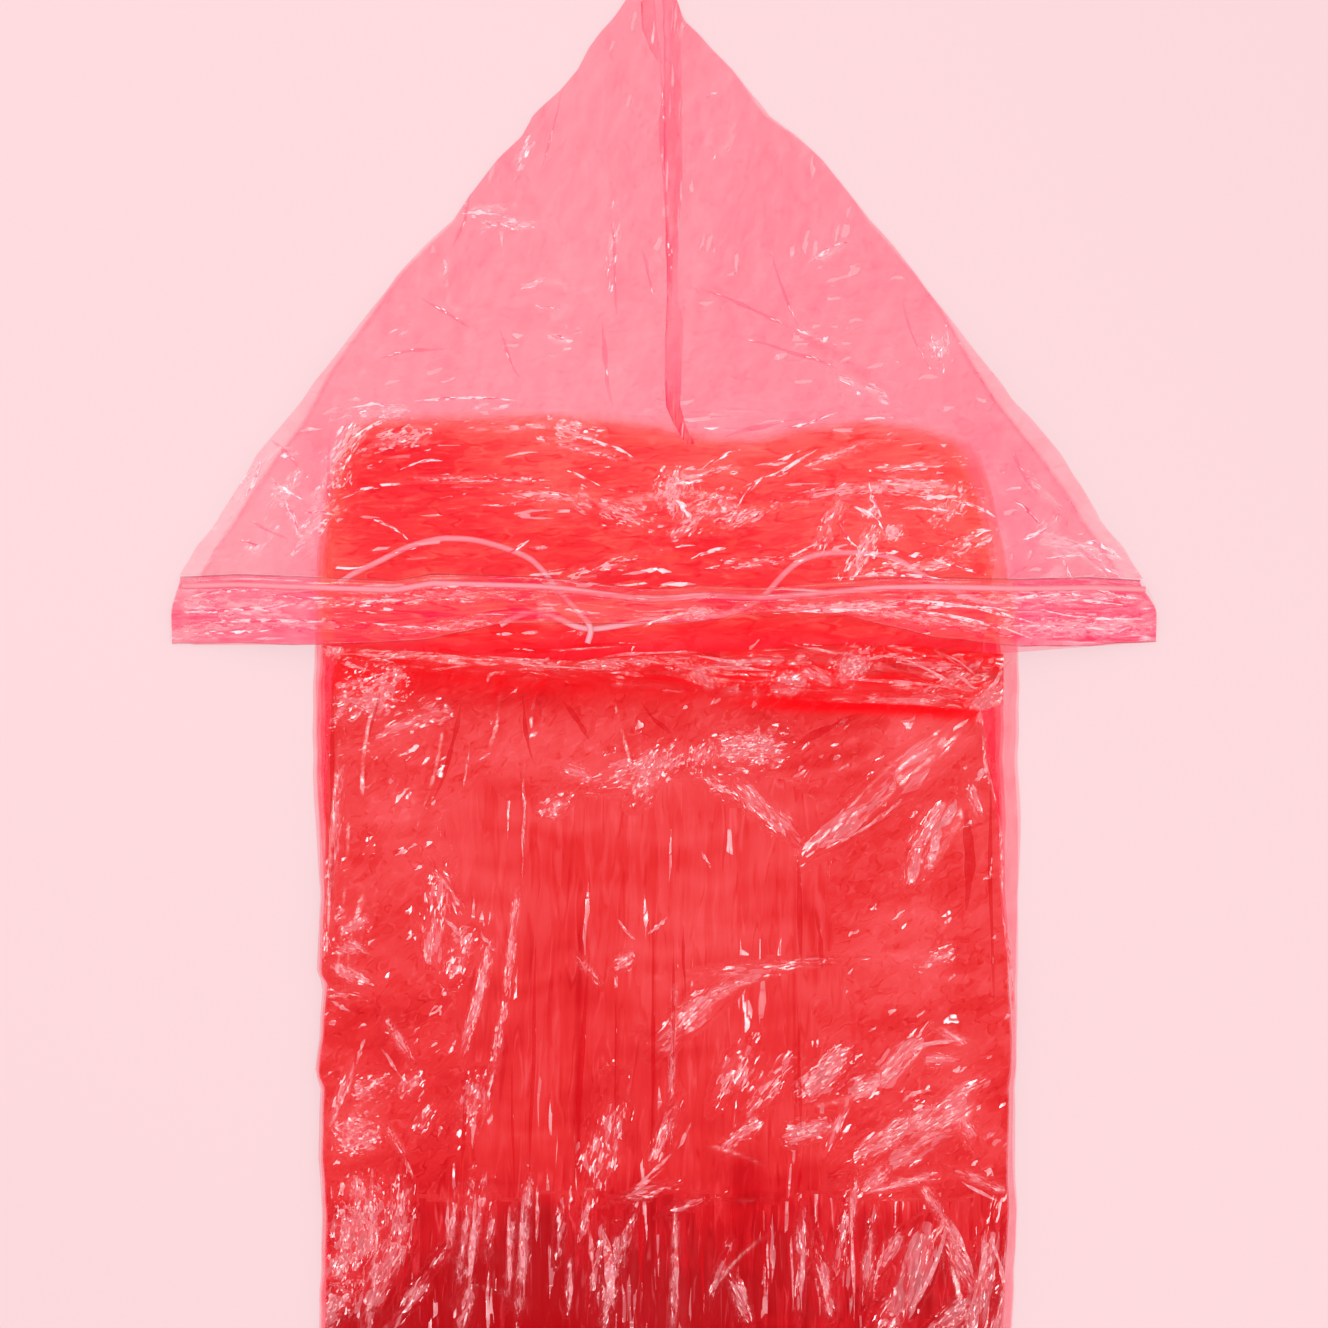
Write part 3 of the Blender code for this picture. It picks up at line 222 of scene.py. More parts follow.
BODY_PATCHES = table(Patch, [
    # Under the neck seam.
    (49, -66, 24, 11, 8, 0.9, 4), (22, -70, 12, 6, 60, 0.6, 3), (-6, -78, 18, 9, 50, 0.7, 4),
    (-20, -78, 26, 7, 20, 0.5, 4), (57, -98, 26, 6, -44, 0.8, 4), (34, -88, 12, 4, -30, 0.5, 3),
    (115, -103, 34, 7, 42, 0.55, 8), (150, -76, 40, 9, 42, 0.3, 9), (160, -112, 15, 5, 56, 1, 5),
    (150, -132, 13, 4, 76, 0.95, 4), (186, -96, 10, 3, -70, 0.8, 3), (192, -44, 9, 3, 62, 0.9, 3),
    (-176, -32, 24, 13, 24, 0.6, 4), (-140, -48, 14, 5, 14, 0.6, 4),
    (-158, -52, 30, 6, 22, 0.4, 4), (-52, -80, 8, 3, -20, 0.6, 3), (-64, -100, 9, 5, 30, 0.6, 4),
    # Down the left side.
    (-198, -130, 60, 3, 84, 0.45, 2.5), (-130, -148, 16, 4, -60, 0.5, 3),
    (-137, -168, 22, 7, 84, 0.5, 4), (-122, -190, 14, 8, 70, 0.5, 5),
    (-186, -170, 9, 4, 30, 0.8, 4), (-189, -184, 8, 3, 10, 0.7, 3),
    (-188, -200, 12, 4, -26, 0.7, 3), (-196, -212, 12, 3, -8, 0.5, 3),
    (-112, -216, 30, 2.5, 76, 0.9, 3), (-99, -240, 40, 2, 80, 0.5, 2.5),
    (-91, -180, 30, 2, 84, 0.55, 2.5),
    # Middle.
    (-46, -196, 10, 2, -50, 0.8, 2.5), (-24, -192, 8, 3, 30, 0.6, 3),
    (34, -210, 34, 3, 24, 0.45, 3), (20, -222, 26, 7, 44, 0.6, 6), (60, -196, 40, 3, 6, 0.35, 4),
    (5, -250, 44, 1.6, 88, 0.6, 2), (-1, -296, 16, 5, 66, 0.7, 4), (164, -190, 10, 4, 20, 0.7, 4),
    # Slanted strips at the right.
    (96, -259, 19, 7, 38, 1, 5), (124, -263, 14, 6, 28, 1, 5), (142, -250, 24, 7, 46, 0.75, 7),
    (86, -294, 12, 5, 14, 1, 5), (40, -262, 20, 7, 62, 0.45, 5), (62, -268, 20, 6, 50, 0.4, 5),
    (104, -290, 22, 3, 66, 0.35, 4), (136, -296, 26, 6, 34, 0.85, 4),
    (164, -284, 30, 9, 32, 0.85, 5), (150, -306, 24, 7, 28, 0.5, 6),
    (124, -324, 13, 5, 46, 0.8, 4), (146, -324, 16, 2.5, 12, 0.9, 3),
    (168, -250, 12, 3, 0, 0.7, 4), (170, -236, 12, 2.5, -30, 0.8, 3),
    (186, -322, 16, 3, -20, 0.8, 3), (180, -290, 12, 4, -60, 0.5, 3),
    # Left, above the fold across.
    (-192, -270, 18, 3, 68, 0.6, 4), (-178, -268, 14, 8, 20, 0.5, 4),
    (-152, -266, 9, 5, 50, 0.5, 6), (-142, -286, 10, 5, 56, 0.5, 5),
    (-160, -236, 14, 2, -58, 0.7, 2.5), (-116, -278, 20, 9, 70, 0.45, 5),
    (-186, -296, 12, 10, 0, 0.6, 4), (-160, -300, 10, 2, -56, 0.7, 2.5),
    (46, -296, 14, 4, 40, 0.7, 3), (-36, -300, 30, 9, 80, 0.35, 4),
    # Upright streaks below it.
    (-178, -338, 20, 12, 84, 0.75, 5), (-188, -366, 24, 13, 80, 0.9, 5),
    (-170, -382, 26, 8, 66, 0.7, 5), (-158, -346, 22, 7, 84, 0.6, 4),
    (-196, -398, 14, 8, 60, 0.6, 5), (-127, -352, 17, 1.6, 82, 0.8, 2),
    (-120, -360, 30, 2, 82, 0.8, 2), (-113, -356, 28, 2, 80, 0.95, 2.4),
    (-118, -398, 14, 2.6, 76, 0.9, 3.2), (-150, -392, 26, 4, 56, 0.6, 4),
    (-104, -352, 14, 2, 84, 0.5, 2.4), (-92, -370, 22, 1.6, 86, 0.9, 2),
    (-84, -362, 38, 2.3, 86, 1, 2.4), (-62, -350, 16, 2.6, 84, 0.4, 3.2),
    (-57, -386, 16, 1.3, 88, 0.8, 1.6), (-40, -372, 20, 2.6, 80, 0.7, 3.2),
    (-31, -382, 26, 2.9, 82, 1, 2.4), (-22, -356, 20, 2.6, 70, 0.5, 2.4),
    (-46, -342, 12, 3.2, 80, 0.4, 3.2), (6, -382, 34, 1.6, 88, 0.95, 2),
    (-10, -330, 16, 3, 14, 0.5, 3), (14, -338, 14, 3, 20, 0.4, 3), (44, -392, 14, 3, -66, 0.9, 3),
    (34, -376, 12, 2.6, 70, 0.5, 2.4), (82, -374, 28, 3.2, 88, 0.9, 4),
    (97, -386, 20, 3.2, -78, 0.85, 3.2), (106, -360, 16, 2.6, 80, 0.5, 3.2),
    (113, -340, 20, 2, 84, 0.8, 2.4), (122, -372, 24, 2.6, 84, 0.7, 3.2),
    (134, -368, 14, 4, 60, 0.7, 4), (148, -380, 30, 8, 74, 0.95, 8),
    (140, -396, 20, 8, 60, 0.5, 5), (169, -350, 22, 2.5, -60, 0.9, 3),
    (176, -372, 24, 4, -62, 0.6, 4), (193, -376, 30, 6, 78, 0.85, 5),
    (203, -396, 20, 3.2, 74, 0.9, 4), (174, -404, 22, 6, 40, 0.6, 5),
    # Below the photo's edge, in the same manner.
    (-150, -500, 46, 16, 40, 0.7, 6), (130, -506, 50, 16, 35, 0.8, 6),
    (20, -462, 50, 12, 10, 0.6, 6), (-186, -450, 44, 10, 86, 0.7, 5),
    (190, -470, 40, 8, 84, 0.7, 5), (-60, -540, 60, 8, 84, 0.6, 5), (60, -560, 40, 10, 70, 0.5, 5),
    (-130, -680, 40, 16, 40, 0.7, 6), (150, -706, 44, 16, -25, 0.7, 6),
    (-40, -740, 44, 14, 55, 0.6, 6), (40, -660, 36, 10, 84, 0.6, 5),
    (-150, -820, 40, 14, -35, 0.7, 6), (140, -824, 40, 14, -40, 0.7, 6),
    (20, -840, 50, 10, 80, 0.6, 5),
])

HOOD_PATCHES = table(Patch, [
    (-167, 137, 13, 4, 8, 0.95, 3), (-190, 118, 20, 6, 52, 0.7, 4), (-160, 120, 20, 8, 20, 0.6, 4),
    (-196, 98, 14, 8, 60, 0.6, 4), (-53, 124, 15, 7, -18, 0.95, 4), (-86, 127, 24, 1.8, 2, 0.8, 3),
    (-50, 114, 24, 2, -14, 0.8, 3), (-116, 96, 30, 2, 0, 0.7, 3), (-70, 86, 20, 4, -4, 0.7, 4),
    (-30, 78, 22, 8, -16, 0.6, 4), (8, 88, 12, 10, 66, 0.95, 4), (22, 100, 16, 4, 6, 0.8, 3),
    (14, 68, 16, 4, 32, 0.8, 3), (30, 78, 18, 10, 20, 0.5, 4), (52, 74, 14, 5, 24, 0.7, 3),
    (-34, 44, 24, 3, 16, 0.7, 3), (56, 46, 24, 3, 4, 0.6, 3), (98, 88, 22, 4, 12, 0.8, 4),
    (124, 90, 20, 3, 4, 0.8, 3), (98, 68, 14, 5, 66, 0.7, 4), (124, 76, 6, 5, 40, 1, 6),
    (137, 64, 5, 4, 40, 1, 6), (120, 54, 16, 6, 60, 0.8, 4), (150, 92, 22, 5, -2, 0.75, 4),
    (170, 78, 14, 8, 50, 0.6, 4), (106, 112, 26, 2, 20, 0.7, 3), (150, 104, 26, 3, 6, 0.5, 4),
    (180, 56, 14, 5, 20, 0.6, 4), (150, 44, 30, 3, 4, 0.6, 3), (226, 88, 18, 4, -40, 0.6, 4),
    (247, 54, 20, 5, -10, 0.7, 4), (232, 66, 18, 7, 60, 0.4, 5), (262, 44, 16, 4, -30, 0.7, 4),
    (-227, 88, 16, 5, 54, 0.5, 4), (-210, 66, 20, 8, 40, 0.5, 4), (-240, 60, 18, 5, 40, 0.5, 4),
    (-250, 92, 20, 4, 56, 0.5, 4), (-108, 257, 12, 3, 4, 0.9, 3), (-92, 250, 16, 3, -2, 0.6, 3),
    (-77, 214, 8, 2, 20, 0.7, 3), (-63, 180, 10, 2, -18, 0.9, 3), (-84, 290, 14, 4, 60, 0.4, 4),
    (100, 232, 15, 1.8, 32, 0.9, 3), (167, 175, 10, 6, 80, 0.5, 4), (94, 180, 14, 2, -24, 0.6, 3),
    (120, 150, 20, 4, -24, 0.4, 4), (40, 300, 16, 4, 60, 0.3, 4), (-30, 240, 20, 3, 84, 0.3, 4),
])

HEM_PATCHES = table(Patch, [
    (-256, 20, 34, 5, -2, 0.7, 4), (-270, 6, 24, 4, 4, 0.7, 3), (-226, 10, 30, 3, -2, 0.5, 3),
    (-190, 22, 40, 3, 2, 0.5, 3), (-120, 26, 40, 3, 0, 0.4, 3), (-130, 8, 30, 3, 4, 0.5, 3),
    (22, 17, 7, 3, 10, 1, 3), (108, 20, 44, 3, 2, 0.9, 3), (160, 12, 40, 3, -8, 0.7, 3),
    (190, 24, 34, 4, 0, 0.5, 4), (236, 8, 36, 4, 2, 0.7, 3), (250, 26, 30, 4, -4, 0.6, 4),
    (276, 10, 14, 4, 10, 0.6, 4),
])

NECK_PATCHES = table(Patch, [
    (-196, -4, 14, 6, 60, 0.8, 3), (-150, -8, 26, 3, 8, 0.6, 3), (-90, -10, 30, 3, -6, 0.5, 3),
    (-34, -14, 26, 3, 4, 0.7, 3), (22, -17, 10, 3, 0, 0.8, 3), (46, -14, 30, 3, 6, 0.7, 3),
    (24, -24, 10, 4, -50, 0.6, 3), (38, -33, 8, 4, 40, 0.9, 4), (55, -34, 6, 3, 70, 0.8, 3),
    (76, -26, 10, 6, 14, 0.95, 6), (92, -22, 10, 3, -28, 0.8, 3), (112, -14, 13, 8, 30, 0.9, 4),
    (100, -40, 40, 3, 6, 0.8, 3), (150, -36, 26, 3, 4, 0.7, 3), (176, -22, 16, 5, 30, 0.5, 4),
    (160, -14, 24, 4, -4, 0.4, 4), (193, -36, 10, 6, 40, 0.9, 4),
])

# A long thin fold that shows as a line: its ends, its width, how far its middle swings left, and
# shine, from 0 where doubled film only darkens to 1 where it glitters.
Fold = namedtuple("Fold", "x0 y0 x1 y1 width bow shine")
BODY_FOLDS = table(Fold, [
    (-77, -173, -81, -333, 1.8, 0.6, 0), (-44, -182, -53, -325, 2.4, -0.6, 0),
    (-6, -173, -8, -316, 1.8, 0, 0), (5, -173, 5, -270, 1.4, 0.6, 0),
    (11, -170, 13, -216, 1.4, 0, 0), (-91, -250, -89, -328, 1.6, -0.6, 0),
    (-119, -265, -123, -333, 1.8, 0.6, 0), (-29, -208, -29, -299, 1.4, 0, 0),
    (80, -126, 82, -197, 2.2, 0, 0), (91, -159, 95, -198, 2.6, 0, 0),
    (80, -216, 82, -300, 1.6, 0, 0), (-121, -32, -138, -97, 3, 2.4, 0),
    (-85, -30, -78, -74, 2.4, -1.2, 0), (122, -44, 76, -65, 4.2, -1.8, 0),
    (180, -100, 181, -163, 5.4, 2.4, 0), (196, -60, 198, -222, 3, -1.8, 0),
    (-198, -24, -201, -180, 3, 1.2, 0), (-151, -338, -157, -396, 1.8, 0, 0),
    (22, -336, 24, -413, 1.8, 0, 0), (-14, -334, -13, -396, 1.8, 0, 0),
    (58, -330, 60, -396, 2, 0, 0), (-62, -36, -44, -61, 2.4, 1.2, 0),
    (-14, -36, 5, -57, 2.4, -1.2, 0), (-170, -30, -182, -66, 3, 1.8, 0),
    (143, -366, 145, -412, 3, 1.2, 0), (-44, -336, -46, -413, 1.8, 0, 0),
    (-107, -193, -115, -236, 2.8, 0.6, 0.8), (-91, -164, -93, -196, 1.8, 0, 0.7),
    (-112, -279, -115, -305, 2.2, 0, 0.8), (-129, -333, -130, -359, 2.2, 0, 0.9),
    (-112, -329, -118, -397, 2.6, 0.6, 1), (-92, -337, -93, -392, 2.4, 0, 1),
    (-85, -333, -84, -396, 2.4, 0, 1), (-76, -326, -76, -361, 1.8, 0, 0.8),
    (-56, -326, -56, -342, 1.8, 0, 0.9), (-56, -370, -56, -401, 2.2, 0.6, 1),
    (-45, -350, -41, -389, 2.2, 0, 0.8), (-36, -352, -30, -402, 4.2, 0.6, 1),
    (7, -338, 8, -406, 2.2, 0, 1), (5, -307, -19, -329, 2, 0, 0.9),
    (0, -316, -20, -331, 1.6, 0, 0.8), (76, -355, 77, -402, 1.9, 0, 1),
    (83, -354, 82, -403, 1.8, 0, 0.9), (43, -379, 50, -397, 2.8, 0.6, 0.9),
    (95, -380, 100, -406, 2.8, 0, 0.9), (112, -329, 114, -409, 1.9, 0, 0.8),
    (120, -331, 148, -324, 2, 0, 1), (132, -359, 125, -391, 2, 0, 0.8),
    (170, -346, 147, -402, 3, 3, 1), (170, -346, 185, -383, 2.2, 1.8, 0.9),
    (192, -352, 186, -391, 2.6, 1.8, 0.9), (194, -353, 204, -397, 2, 1.8, 0.9),
    (177, -324, 201, -336, 2, 0, 1), (-179, -238, -184, -254, 2.2, 0, 0.9),
    (-169, -244, -155, -266, 1.6, 0, 0.8), (-191, -266, -200, -292, 2.8, 0.6, 0.9),
    (-175, -315, -176, -363, 2.8, 0.6, 0.9), (-155, -309, -150, -323, 1.8, 0, 0.9),
    (-28, -167, -17, -180, 1.8, 0, 1), (2, -165, -10, -176, 2.2, 1.2, 0.8),
    (191, -44, 200, -103, 1.8, -3, 0.5), (200, -101, 202, -162, 1.7, 0.6, 0.5),
    (201, -159, 209, -234, 1.8, 1.8, 0.5), (175, -95, 165, -113, 4.8, 0.6, 1),
    (166, -112, 158, -138, 4.2, -0.6, 1), (193, -76, 186, -85, 3, 0, 0.9),
    (80, -295, 96, -290, 3.6, 0, 1), (112, -275, 146, -253, 3.6, -1.2, 0.9),
    (-200, -216, -187, -222, 2.2, 0, 0.8), (-191, -180, -175, -189, 2.4, 1.2, 0.8),
    (-187, -197, -173, -207, 1.8, -1.2, 0.8), (-136, -162, -121, -180, 2.2, 1.8, 0.6),
    (-110, -174, -100, -186, 2.2, -1.2, 0.7), (-107, -197, -110, -222, 1.8, 0, 0.7),
    (22, -126, 29, -138, 1.4, 0, 0.6), (-84, -72, -83, -126, 1.4, 0, 0.5),
    (-84, -96, -85, -144, 1.3, 0, 0.6), (58, -96, 73, -119, 2.4, 1.2, 0.8),
    (107, -120, 145, -93, 2.4, -1.2, 0.7), (94, -121, 112, -119, 1.8, 0, 0.8),
    (16, -222, 31, -211, 2.2, 1.8, 0.7), (31, -211, 58, -204, 1.8, 1.8, 0.6),
    (16, -288, 7, -305, 1.8, 1.2, 0.7), (145, -246, 178, -240, 2.4, 2.4, 0.7),
    (142, -276, 160, -269, 2.4, 1.2, 0.8), (46, -270, 55, -256, 2, 1.2, 0.7),
    (-116, -60, -121, -90, 1.4, 0.6, 0.4), (-190, -36, -173, -46, 1.8, 1.8, 0.7),
    (-187, -50, -179, -40, 1.8, 0, 0.6), (-116, -423, -121, -486, 2.4, 0.6, 0.9),
    (-62, -432, -59, -498, 2.4, 0, 0.9), (-8, -426, -7, -480, 2.2, 0, 0.8),
    (82, -426, 79, -498, 2.4, 0, 0.9), (142, -456, 172, -420, 3, 1.8, 0.8),
    (-170, -468, -146, -432, 3, -1.8, 0.8), (-38, -516, -36, -588, 2.2, 0, 0),
    (58, -504, 60, -588, 2.2, 0, 0), (-86, -636, -83, -732, 2.4, 0, 0.8),
    (22, -624, 24, -720, 2.2, 0, 0), (118, -648, 142, -624, 3, 1.2, 0.8),
    (-146, -696, -116, -672, 3, 1.2, 0.8), (-26, -756, -23, -840, 2.4, 0, 0.8),
    (70, -756, 76, -840, 2.4, 0, 0), (160, -792, 190, -756, 3, 1.2, 0.8),
    (-170, -792, -158, -852, 2.4, 0, 0.8),
])

HOOD_FOLDS = table(Fold, [
    (-121, 256, -98, 254, 2, 0.6, 1), (-109, 250, -91, 247, 1.7, 0.6, 0.8),
    (-71, 183, -54, 178, 2.2, 0, 1), (86, 226, 113, 239, 1.8, 1.2, 0.9),
    (160, 184, 162, 168, 1.7, 0, 0.7), (-77, 200, -62, 197, 1.4, 0, 0.6),
    (25, 325, 32, 328, 1.4, 0, 0.7), (98, 182, 95, 178, 1.8, 0, 0.8),
    (-187, 139, -160, 140, 1.8, 1.2, 0.9), (-150, 142, -85, 143, 1.6, 1.8, 0.8),
    (-62, 128, -35, 125, 2.2, -1.8, 1), (-55, 122, -18, 109, 1.9, 1.8, 1),
    (-62, 102, -38, 92, 1.4, 1.2, 0.8), (47, 91, 92, 115, 1.6, -1.8, 0.8),
    (59, 104, 85, 115, 1.6, -1.2, 0.8), (72, 126, 104, 136, 1.6, -0.6, 0.7),
    (44, 79, 64, 102, 1.6, 1.8, 0.6), (22, 102, 46, 114, 1.8, 1.2, 0.6),
    (5, 92, 26, 95, 2.4, 1.2, 0.9), (7, 84, 16, 70, 3, 1.2, 0.9),
    (150, 86, 176, 86, 2.6, -0.6, 1), (142, 79, 178, 75, 1.8, 1.2, 0.8),
    (122, 94, 130, 73, 2.4, -1.2, 0.9), (113, 79, 131, 66, 2.4, 1.8, 0.8),
    (119, 50, 140, 53, 2.8, 0, 0.9), (103, 72, 116, 55, 1.8, -1.8, 0.6),
    (-14, 42, 5, 41, 2.4, 0, 0.9), (-38, 41, -22, 42, 1.8, 0, 0.7),
    (16, 48, 37, 55, 1.8, 1.2, 0.7), (-158, 102, -132, 107, 1.4, 1.8, 0.7),
    (-121, 94, -70, 95, 1.3, 1.2, 0.6), (-110, 80, -62, 85, 1.3, -1.2, 0.5),
    (-194, 84, -170, 91, 1.6, 1.2, 0.6), (-187, 120, -163, 132, 1.8, 1.8, 0.8),
    (-192, 102, -181, 120, 1.7, 0, 0.6), (-175, 72, -152, 60, 1.6, 1.2, 0.5),
    (-98, 48, -80, 60, 1.6, 0, 0.5), (70, 48, 94, 60, 1.6, -1.2, 0.6),
    (160, 48, 196, 36, 1.7, 1.2, 0.6), (172, 84, 199, 72, 1.7, 1.8, 0.7),
    (-241, 107, -253, 83, 2, 1.8, 0.8), (-235, 97, -215, 84, 1.8, -1.2, 0.8),
    (-227, 84, -218, 62, 1.8, 1.2, 0.6), (-215, 76, -196, 74, 1.6, 1.2, 0.6),
    (-254, 60, -241, 55, 1.6, 0, 0.5), (208, 84, 227, 66, 1.8, 1.8, 0.7),
    (214, 60, 229, 67, 2, 0, 0.7), (226, 48, 251, 50, 1.8, 1.2, 0.7),
    (252, 60, 274, 48, 1.8, 1.8, 0.7), (244, 36, 238, 48, 1.8, 0, 0.6),
    (202, 30, 227, 25, 1.6, 1.2, 0.6), (178, 60, 196, 66, 1.4, 0, 0.6),
    (-31, 252, -29, 191, 1.8, 0.6, 0), (-37, 191, -31, 139, 2.4, -1.2, 0),
    (-14, 234, -7, 204, 1.8, 1.2, 0), (-116, 270, -127, 234, 1.8, 1.8, 0),
    (-86, 156, -98, 186, 2, 1.2, 0), (22, 210, 76, 186, 2, 1.8, 0),
    (46, 180, 106, 161, 2.4, 1.8, 0), (64, 234, 82, 186, 1.8, -1.8, 0),
    (142, 204, 160, 161, 2, -1.8, 0), (-62, 330, -74, 282, 1.8, 1.2, 0),
    (-2, 348, 0, 261, 2.6, 0, 0), (2, 253, 4, 204, 3, 0, 0),
    (-146, 204, -116, 186, 1.8, 1.2, 0), (-170, 168, -128, 174, 1.8, 1.8, 0),
    (-134, 84, -62, 88, 2, 1.8, 0), (-38, 72, 22, 81, 2, -1.8, 0),
    (70, 84, 130, 95, 2, 1.8, 0), (-182, 48, -116, 57, 2, 1.2, 0),
    (-62, 102, -14, 102, 1.8, 1.2, 0), (142, 60, 196, 48, 1.8, 1.2, 0),
    (-236, 120, -218, 102, 2.4, 1.8, 0), (208, 114, 226, 84, 2.4, -1.8, 0),
    (238, 60, 268, 36, 2, 1.8, 0), (-248, 72, -224, 60, 1.8, -1.2, 0),
    (34, 120, 82, 132, 2.4, 1.8, 0), (-200, 120, -197, 72, 2.4, -1.8, 0),
])

HEM_FOLDS = table(Fold, [
    (65, 16, 132, 17, 1.8, 1.2, 0.9), (139, 24, 222, 10, 2, 2.4, 1),
    (145, 17, 220, 1, 1.8, 2.4, 0.8), (160, 20, 208, 17, 1.4, 1.2, 0.7),
    (97, 37, 175, 35, 1.6, 2.4, 0.8), (-62, 18, -38, 16, 1.4, 0, 0.7),
    (-14, 7, 22, 18, 1.8, 1.2, 0.8), (-290, 25, -241, 30, 2, 1.2, 0.9),
    (-287, 17, -218, 22, 1.8, -1.2, 0.8), (-278, 10, -200, 11, 1.6, 1.2, 0.7),
    (-241, 29, -194, 24, 1.4, -1.2, 0.6), (-284, 4, -230, 6, 1.8, 0, 0.7),
    (-200, 20, -134, 24, 1.6, 1.2, 0.6), (-188, 12, -116, 7, 1.6, -1.2, 0.6),
    (-140, 30, -86, 32, 1.4, 1.2, 0.5), (202, 24, 259, 26, 1.8, 1.2, 0.8),
    (226, 17, 286, 12, 1.8, -1.2, 0.9), (238, 24, 280, 20, 1.6, 1.2, 0.7),
    (208, 8, 268, 6, 1.6, 1.2, 0.7), (256, 31, 288, 24, 1.8, -1.2, 0.8),
    (-104, 22, -62, 25, 1.4, 1.2, 0), (22, 24, 70, 26, 1.8, 1.2, 0),
    (-218, 17, -146, 13, 1.8, 1.2, 0), (172, 30, 238, 20, 2, -1.8, 0),
    (-272, 20, -218, 16, 1.8, 0, 0), (220, 12, 280, 17, 1.8, 1.2, 0),
    (-170, 28, -110, 24, 1.6, 0, 0), (-32, 22, 16, 25, 1.6, 1.2, 0),
])

NECK_FOLDS = table(Fold, [
    (-38, -10, 22, -7, 1.8, 0.6, 0.8), (16, -9, 59, -13, 1.8, -1.2, 0.9),
    (22, -17, 70, -19, 1.6, 1.2, 0.8), (116, -13, 143, -8, 2, 0.6, 0.9),
    (131, -6, 176, -30, 1.6, 1.8, 0.8), (145, -12, 179, -31, 1.4, 1.2, 0.7),
    (100, -24, 179, -30, 1.6, 1.8, 0.8), (70, -1, 112, -8, 1.6, -1.2, 0.7),
    (192, -31, 202, -17, 2.4, -1.2, 1), (200, -18, 208, -11, 1.8, 0, 0.8),
    (-206, -7, -158, -10, 1.4, -0.6, 0.7), (-158, -10, -98, -12, 1.3, 0.6, 0.6),
    (-92, -14, -38, -17, 1.4, -0.6, 0.7), (-70, -7, -25, -4, 1.4, 0.6, 0.6),
    (160, -6, 187, -22, 1.6, 1.8, 0.8), (172, -19, 187, -30, 1.8, 0, 0.9),
    (-194, -14, -175, -19, 1.8, 0.6, 0.7), (-140, -17, -110, -14, 1.4, -0.6, 0.5),
    (-38, -20, 22, -25, 3, 0.6, 0), (22, -26, 118, -31, 3.6, 1.2, 0),
    (112, -31, 187, -37, 4.2, 1.2, 0), (-14, -12, 34, -16, 2.4, -0.6, 0),
    (-62, -5, -14, -2, 2.4, 0.6, 0), (136, -18, 179, -34, 2.4, 1.8, 0),
    (58, -6, 118, -4, 3, 1.2, 0), (-110, -8, -62, -6, 2.4, 0.6, 0),
    (-188, -11, -134, -14, 2.4, -0.6, 0), (154, -5, 190, -25, 2.4, 1.8, 0),
])

# A soft deepening of the body's colour, or a paling of it where amount is below zero. The broad
# paling low down at the left side is a painted sheen.
Shade = namedtuple("Shade", "x y across down amount")
BODY_SHADES = table(Shade, [
    (-62, -396, 110, 46, 0.34), (-76, -354, 20, 26, 0.3), (-14, -352, 34, 36, 0.18),
    (50, -324, 14, 22, 0.25), (22, -398, 50, 26, 0.25), (150, -392, 16, 14, 0.2),
    (-174, -408, 40, 16, 0.2), (-52, -230, 20, 90, 0.1), (142, -190, 50, 44, -0.22),
    (96, -224, 30, 30, -0.12), (86, -160, 60, 40, 0.04), (-60, -64, 70, 26, -0.14),
    (-160, -110, 26, 30, -0.14), (-30, -110, 30, 20, -0.1), (14, -168, 50, 40, -0.06),
    (-130, -230, 70, 40, 0.06), (160, -60, 30, 24, -0.2), (172, -170, 14, 50, 0.14),
    (-90, -480, 90, 50, 0.1), (100, -600, 100, 50, -0.1), (-60, -700, 110, 60, 0.12),
    (80, -810, 90, 50, 0.08), (-185, -330, 34, 90, -0.16), (185, -300, 30, 80, -0.1),
    (150, 70, 60, 60, -0.1), (-150, 92, 66, 54, 0.3), (-20, 50, 110, 30, 0.26),
])

# ---------------------------------------------------------------- the string's free ends

RoutePoint = namedtuple("RoutePoint", "x y lift")
LEFT_END = table(RoutePoint, [
    (-194, 34, 0), (-184, 40.4, 0), (-170.4, 46.8, 0), (-153.6, 55.2, 0),
    (-136.2, 60, 0), (-125.4, 60.6, 0), (-111.6, 59.4, 0), (-94.2, 54.6, 0),
    (-80.4, 48.6, 0), (-71.4, 40.2, 0), (-66.6, 34, 0.4), (-60, 26.4, 1.8),
    (-51.6, 17.4, 3.6), (-45.6, 10.8, 4), (-43.6, 5.4, 4.1), (-45.6, -1.8, 3.4),
])
RIGHT_END = table(RoutePoint, [
    (199, 20, 0), (188.4, 23.4, 0), (172.2, 30, 0), (153, 39.6, 0),
    (140.4, 47.4, 0), (127.8, 51, 0), (109.2, 52.2, 0), (92.4, 51, 0),
    (79.8, 46.2, 0), (69.6, 37.2, 0), (59, 26, 0), (44, 17.6, 0), (26, 13.6, 0),
    (7.8, 12, 0), (-14.4, 10.8, 0), (-28.2, 8.4, 0), (-43.2, 6.6, 0), (-53.4, 8.4, 0),
    (-62.4, 12.6, 0), (-71.4, 16.2, 0), (-80.4, 16.2, 0), (-91.2, 12.6, 0),
    (-97.8, 9, 0),
])

# ---------------------------------------------------------------- helpers


def between(rows, key, value, places):
    """The values of a table at places along its column named key."""
    rows = sorted(rows, key=lambda row: getattr(row, key))
    keys = [getattr(row, key) for row in rows]
    return np.interp(places, keys, [getattr(row, value) for row in rows])


def ramp(value, start, end, first, last):
    """A soft step from first at start to last at end."""
    share = np.clip((value - start) / (end - start), 0.0, 1.0)
    return first + (last - first) * share * share * (3 - 2 * share)


def slope(value, start, end, first, last):
    """A straight slope from first at start to last at end."""
    return first + (last - first) * np.clip((value - start) / (end - start), 0.0, 1.0)


